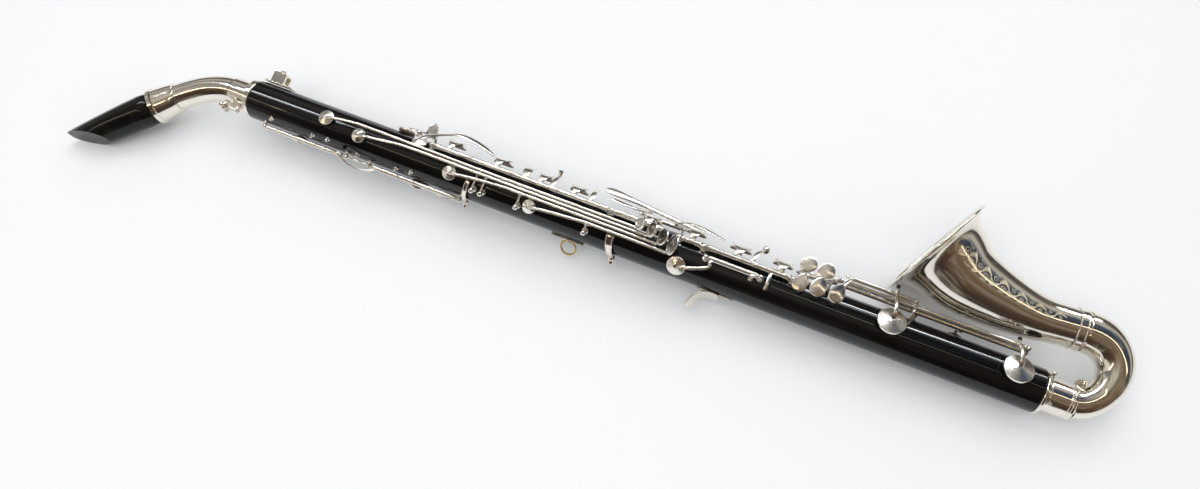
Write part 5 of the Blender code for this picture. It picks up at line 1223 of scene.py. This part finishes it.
build("right_pinky_key_5", SILVER,      # inner petal on its own short tube
      [tube_x(441.8, 463.4, *K_SHORT, KR), petal((445.4, 10.2, 19.7), (-0.15, -0.1, 1), 6.9, 5.3, (0.2, 1, 0)),
       arm([(446.8, 14.8, 19.6), (447.6, 17.4, 18.0), (447.8, 17.6, 14.6)], [1.8, 1.6, 1.4], 0.9),
       cup(470.0, BODY_R + 0.5, 165, 7.4, 3.2, 18, 1.4),
       wrap([(461.6, 20.4, 54), (461.8, 17.9, 66), (463.0, 17.7, 90), (466.0, 18.4, 120), (468.6, 20.6, 148), (470, 19.8, 165)], [1.4, 1.4, 1.4, 1.5, 1.6, 1.8], 0.8, per=2)],
      kcut(441.8, 463.4, K_SHORT), pivot=(441.8, *K_SHORT))


# pillars at the bell end carry the rods of the long hinge lines
build("right_pinky_rods_outer", SILVER,
      [tube_x(472.9, 522.4, *K_C1, 0.75, 8), ball((521.8, *K_C1), 1.95, 10, 6, axis=(0, 0, 1)),
       rod((521.8, 18.4, 17.2), (521.8, *K_C1), 1.0, 10), rod((521.8, 9.8, 12.8), (521.8, 19.0, 17.6), 1.15, 10)])
build("right_pinky_rods_inner", SILVER,
      [tube_x(465.6, 599.2, *K_C2, 0.75, 8), tube_x(442.6, 599.2, *K_IN, 0.75, 8), tube_x(455.6, 599.2, *K_LOW, 0.75, 8),
       ball((598.6, *K_C2), 1.95, 10, 6, axis=(0, 0, 1)), ball((598.6, *K_IN), 1.95, 10, 6, axis=(0, 0, 1)), ball((598.6, *K_LOW), 1.95, 10, 6, axis=(0, 0, 1)),
       rod((598.6, 15.9, 4.4), (598.6, *K_IN), 1.2, 10), rod((598.6, *K_IN), (598.6, *K_C2), 1.1, 10), rod((598.6, *K_IN), (598.6, *K_LOW), 1.1, 10)])
build("right_pinky_rod_short", SILVER,
      [tube_x(440.4, 464.8, *K_SHORT, 0.75, 8)] + [ball((464.8, *K_SHORT), 1.3, 10, 6, axis=(0, 0, 1)), rod((464.8, 12.2, 10.6), (464.8, *K_SHORT), 0.9, 8)])

# ================================================================ far side: low C-sharp key
LEFT_PHI, LEFT_RAD = 197.0, 20.6
LEP = polar(0, LEFT_RAD, LEFT_PHI)
build("low_csharp_key", SILVER,
      [tube_x(474.6, 573.0, LEP.y, LEP.z), cup(500.0, BODY_R + 0.5, 155, 9.0, 3.4, 20, 1.6),
       wrap([(500, LEFT_RAD, 194), (500, 21.6, 180), (500, 21.2, 168), (500, 20.2, 155)], [1.6, 1.6, 1.7, 1.9], 0.85, per=2)],
      [tube_x(472, 575, LEP.y, LEP.z, TUBE_BORE, 10)], pivot=(474.6, LEP.y, LEP.z))
build("low_csharp_rod", SILVER,
      post(472.0, LEFT_PHI, LEFT_RAD) + post(575.6, LEFT_PHI, LEFT_RAD) + [tube_x(471.4, 576.2, LEP.y, LEP.z, ROD_R, 10)])

# ================================================================ back: register and thumb keys
BK_PHI, BK_RAD = -80.0, 18.7
BP = polar(0, BK_RAD, BK_PHI)
build("register_key", SILVER,
      [tube_x(18.8, 88.6, BP.y, BP.z, 1.8), cup(44.0, BODY_R + 0.45, -115, 4.6, 2.8, 14, 1.2),
       wrap([(44, 19.0, -84), (44, 20.6, -96), (44, 19.8, -115)], [1.6, 1.6, 1.5], 0.8, per=2),
       wrap([(86.4, 19.0, -76), (86.6, 20.2, -64), (88.4, 20.6, -56)], [1.5, 1.6, 1.4], 0.8, per=2)],
      [tube_x(17, 91, BP.y, BP.z, 1.15, 10)], pivot=(18.8, BP.y, BP.z))
build("register_rod", SILVER,
      post(16.4, BK_PHI, BK_RAD, r=1.95) + post(91.0, BK_PHI, BK_RAD, r=1.8) + post(111.6, BK_PHI, BK_RAD, r=1.7) + post(189.6, BK_PHI, BK_RAD, r=1.95)
      + [tube_x(15.9, 190.2, BP.y, BP.z, 0.85, 10)])
PEGS = []
for px, phi in ((24.0, -48), (61.0, -53), (75.0, -47), (101.0, -62), (135.0, -60), (148.0, -52)):
    out_ = polar(0, 1, phi)
    PEGS += [turned(polar(px, BODY_R - 0.4, phi), out_, [(0, 1.7), (0.7, 1.7), (0.9, 1.05), (1.2, 0.8), (2.0, 0.8)], 12, ease=0.1), ball(polar(px, BODY_R + 2.0, phi), 1.25, 12, 8, axis=out_)]
add_piece("register_posts", "turned", PEGS, "register_rod")
build("register_thumb_lever", SILVER,
      [tube_x(115.2, 187.0, BP.y, BP.z, 1.8),
       swept([(118, BP.y - 0.4, BP.z), (113, -22.6, 3.6), (106, -24.6, 5.6), (98, -24.2, 8.6), (91.5, -21.4, 12.0), (88.0, -19.6, 13.4)], [1.4, 1.4, 1.5, 1.5, 1.4, 1.6], 0.85, 8, hint=(0, -1, 0), per=2, sq=3),
       wrap([(172, 19.2, -84), (172, 20.6, -96), (172, 21.2, -110), (172, 21.2, -122)], [1.8, 2.2, 2.8, 3.4], 0.85, per=2),
       disc(polar(172, 21.6, -126), polar(0, 1, -126), 8.0, 4.4, 1.5, 16, hint=(1, 0, 0), dome=0.2, egg=0.25)],
      [tube_x(113, 189, BP.y, BP.z, 1.15, 10)], pivot=(115.2, BP.y, BP.z))
TH_PHI, TH_RAD = -160.0, 18.9
TP = polar(0, TH_RAD, TH_PHI)
build("thumb_key", SILVER,
      [tube_x(134.6, 165.4, TP.y, TP.z), cup(150.0, BODY_R + 0.45, -120, 7.4, 3.2, 18, 1.2),
       wrap([(150, 19.0, -156), (150, 20.6, -144), (150, 20.0, -120)], [1.8, 1.8, 1.7], 0.85, per=2)],
      [tube_x(132, 168, TP.y, TP.z, TUBE_BORE, 10)], pivot=(134.6, TP.y, TP.z), stand=THUMB_OPEN)
build("thumb_rod", SILVER,
      post(132.0, TH_PHI, TH_RAD, r=2.0) + post(168.0, TH_PHI, TH_RAD, r=2.0) + [tube_x(131.5, 168.5, TP.y, TP.z, ROD_R, 10)])


# ================================================================ table, light and camera
def pane(name, centre, target, size, power, colour, spread=180.0, seen=True, along_=(1, 0, 0)):
    la = bpy.data.lights.new(name, "AREA")
    la.shape, la.size, la.size_y = "RECTANGLE", size[0], size[1]
    la.energy, la.color, la.spread = power, colour, math.radians(spread)
    ob = bpy.data.objects.new(name, la)
    scene.collection.objects.link(ob)
    c, t = Vector(centre), Vector(target)
    z = (c - t).normalized()
    x = Vector(along_).normalized()
    x = (x - z * x.dot(z)).normalized()
    y = z.cross(x)
    m = Matrix.Identity(4)
    for i in range(3):
        m[i][0], m[i][1], m[i][2], m[i][3] = x[i], y[i], z[i], c[i]
    ob.matrix_world = m
    ob.visible_glossy, ob.visible_diffuse = seen, not seen
    return ob


def tube_light(name, x0, tilt0, x1, tilt1, dist, width, power, colour):
    """A long narrow light between two places, each given by x and by its tilt up from the near
    horizon."""
    a = Vector((x0, -dist * math.cos(math.radians(tilt0)), dist * math.sin(math.radians(tilt0))))
    b = Vector((x1, -dist * math.cos(math.radians(tilt1)), dist * math.sin(math.radians(tilt1))))
    c = (a + b) / 2
    return pane(name, c, (c.x, 0, 0), ((b - a).length, width), power, colour, along_=b - a)


def table_top():
    me = bpy.data.meshes.new("table")
    s, z = 6.0, -0.0002
    me.from_pydata([(-s, -s, z), (s, -s, z), (s, s, z), (-s, s, z)], [], [(0, 1, 2, 3)])
    m, nt, b = nodes_of("pale_table")
    at = mapped(nt)
    cloud = noise(nt, at, 3.0, 4.0, 0.5)
    nt.links.new(blend(nt, cloud, (0.885, 0.892, 0.905), (0.90, 0.905, 0.912)), b.inputs["Base Color"])
    nt.links.new(span(nt, noise(nt, at, 60.0, 3.0, 0.5), 0.3, 0.7, 0.55, 0.7), b.inputs["Roughness"])
    b.inputs["Specular IOR Level"].default_value = 0.25
    me.materials.append(m)
    ob = bpy.data.objects.new("table", me)
    scene.collection.objects.link(ob)


table_top()

# what the metal mirrors: a dim brown room on the near side, dark blue overhead, and pale beige
# walls on the far side
world = bpy.data.worlds.new("room")
scene.world = world
world.use_nodes = True
wt = world.node_tree
wt.nodes.clear()
out = wt.nodes.new("ShaderNodeOutputWorld")
path = wt.nodes.new("ShaderNodeLightPath")
tc = wt.nodes.new("ShaderNodeTexCoord")
sep = wt.nodes.new("ShaderNodeSeparateXYZ")
wt.links.new(tc.outputs["Generated"], sep.inputs[0])
# the tilt runs from 0 at the near horizon through 0.5 overhead to 1 at the far horizon
tilt_ = math_of(wt, "DIVIDE", math_of(wt, "ARCTAN2", sep.outputs["Z"], math_of(wt, "MULTIPLY", sep.outputs["Y"], -1.0)), math.pi)
drift_ = span(wt, noise(wt, tc.outputs["Generated"], 1.7, 3.0, 0.5), 0.3, 0.7, -0.07, 0.07)
ramp = wt.nodes.new("ShaderNodeValToRGB")
TONES = ((0.00, (0.050, 0.038, 0.030)), (0.12, (0.045, 0.030, 0.022)), (0.24, (0.09, 0.055, 0.035)), (0.32, (0.17, 0.12, 0.08)), (0.37, (0.25, 0.20, 0.15)),
         (0.42, (0.10, 0.08, 0.07)), (0.50, (0.035, 0.042, 0.06)), (0.60, (0.05, 0.07, 0.11)), (0.66, (0.18, 0.21, 0.26)), (0.71, (0.46, 0.43, 0.38)),
         (0.79, (0.50, 0.47, 0.41)), (0.84, (0.26, 0.24, 0.22)), (0.90, (0.08, 0.07, 0.065)), (0.96, (0.06, 0.055, 0.05)), (1.00, (0.12, 0.11, 0.10)))
while len(ramp.color_ramp.elements) < len(TONES):
    ramp.color_ramp.elements.new(0.5)
for e, (pos, c) in zip(ramp.color_ramp.elements, TONES):
    e.position, e.color = pos, (*c, 1)
wt.links.new(math_of(wt, "ADD", tilt_, drift_), ramp.inputs["Fac"])
patch = span(wt, noise(wt, tc.outputs["Generated"], 3.4, 4.0, 0.55, 0.3), 0.54, 0.68, 0.0, 0.6)
haze = blend(wt, patch, ramp.outputs["Color"], (0.34, 0.31, 0.27))
# a beige ceiling over the key end, lost in the dark over the bell
ceiling = math_of(wt, "MULTIPLY", span(wt, math_of(wt, "ADD", sep.outputs["X"], drift_), -0.02, 0.24, 1.0, 0.0),
                  math_of(wt, "MULTIPLY", span(wt, tilt_, 0.30, 0.38, 0.0, 1.0), span(wt, tilt_, 0.58, 0.68, 1.0, 0.0)))
ceiling = math_of(wt, "MULTIPLY", ceiling, span(wt, noise(wt, tc.outputs["Generated"], 6.0, 3.0, 0.5, 0.2), 0.36, 0.58, 0.25, 0.9))
haze = blend(wt, ceiling, haze, (0.62, 0.58, 0.51))
# beside the neck end: a grey ceiling, and a pale wall low on the near side
beside = math_of(wt, "MULTIPLY", span(wt, math_of(wt, "ADD", sep.outputs["X"], drift_), -0.60, -0.44, 0.85, 0.0),
                 math_of(wt, "MULTIPLY", span(wt, tilt_, 0.12, 0.2, 0.0, 1.0), span(wt, tilt_, 0.44, 0.5, 1.0, 0.0)))
haze = blend(wt, beside, haze, (0.15, 0.15, 0.165))
wall = math_of(wt, "MULTIPLY", span(wt, math_of(wt, "ADD", sep.outputs["X"], drift_), -0.66, -0.50, 1.0, 0.0),
               math_of(wt, "MULTIPLY", span(wt, tilt_, 0.27, 0.35, 1.0, 0.0), span(wt, tilt_, -0.02, 0.03, 0.0, 0.92)))
haze = blend(wt, wall, haze, (0.78, 0.75, 0.69))
glossy = wt.nodes.new("ShaderNodeBackground")
wt.links.new(haze, glossy.inputs["Color"])
soft = wt.nodes.new("ShaderNodeBackground")
soft.inputs["Color"].default_value = (0.97, 0.985, 1.0, 1)
soft.inputs["Strength"].default_value = 0.60
pick = wt.nodes.new("ShaderNodeMixShader")
wt.links.new(path.outputs["Is Glossy Ray"], pick.inputs[0])
wt.links.new(soft.outputs[0], pick.inputs[1])
wt.links.new(glossy.outputs[0], pick.inputs[2])
wt.links.new(pick.outputs[0], out.inputs["Surface"])

# camera at the photograph's viewing angle, in the instrument's axes
CAM_AT = (421.7, -86.9, 620.7)
CAM_RIGHT, CAM_UP, CAM_FWD = (0.9189, 0.3717, -0.1322), (-0.3469, 0.9209, 0.1779), (-0.1879, 0.1176, -0.9751)
cam = bpy.data.cameras.new("camera")
cam.sensor_width, cam.lens, cam.clip_start, cam.clip_end = 36.0, 26.01, 0.01, 30.0
cam_ob = bpy.data.objects.new("camera", cam)
scene.collection.objects.link(cam_ob)
view = Matrix.Identity(4)
for i in range(3):
    view[i][0], view[i][1], view[i][2], view[i][3] = CAM_RIGHT[i], CAM_UP[i], -CAM_FWD[i], CAM_AT[i] * 0.001
cam_ob.matrix_world = REST @ view
scene.camera = cam_ob

# soft light: a broad key from the upper right, and two narrow strips that draw the long lines
# along the tubes
pane("key_soft", (-0.35, 1.0, 2.0), (0.0, 0.0, 0.0), (1.6, 1.6), 14.0, (1.0, 0.995, 0.985), seen=False)
pane("fill_soft", (-0.1, -0.8, 2.0), (0.0, 0.0, 0.0), (1.7, 1.7), 17.0, (0.985, 0.99, 1.0), seen=False)
tube_light("strip_white", -1.35, 98.0, 0.95, 152.0, 1.5, 0.06, 16.0, (0.93, 0.96, 1.0))
tube_light("strip_blue", -1.35, 92.0, 0.95, 145.0, 1.5, 0.025, 4.0, (0.80, 0.90, 1.0))
tube_light("strip_warm", -1.5, 57.0, -0.2, 52.0, 1.5, 0.03, 1.6, (1.0, 0.82, 0.56))
tube_light("strip_gold", 0.2, 88.0, 2.4, 84.0, 1.5, 0.05, 1.5, (1.0, 0.86, 0.62))

scene.view_settings.view_transform = "Standard"
scene.view_settings.exposure = 0.0
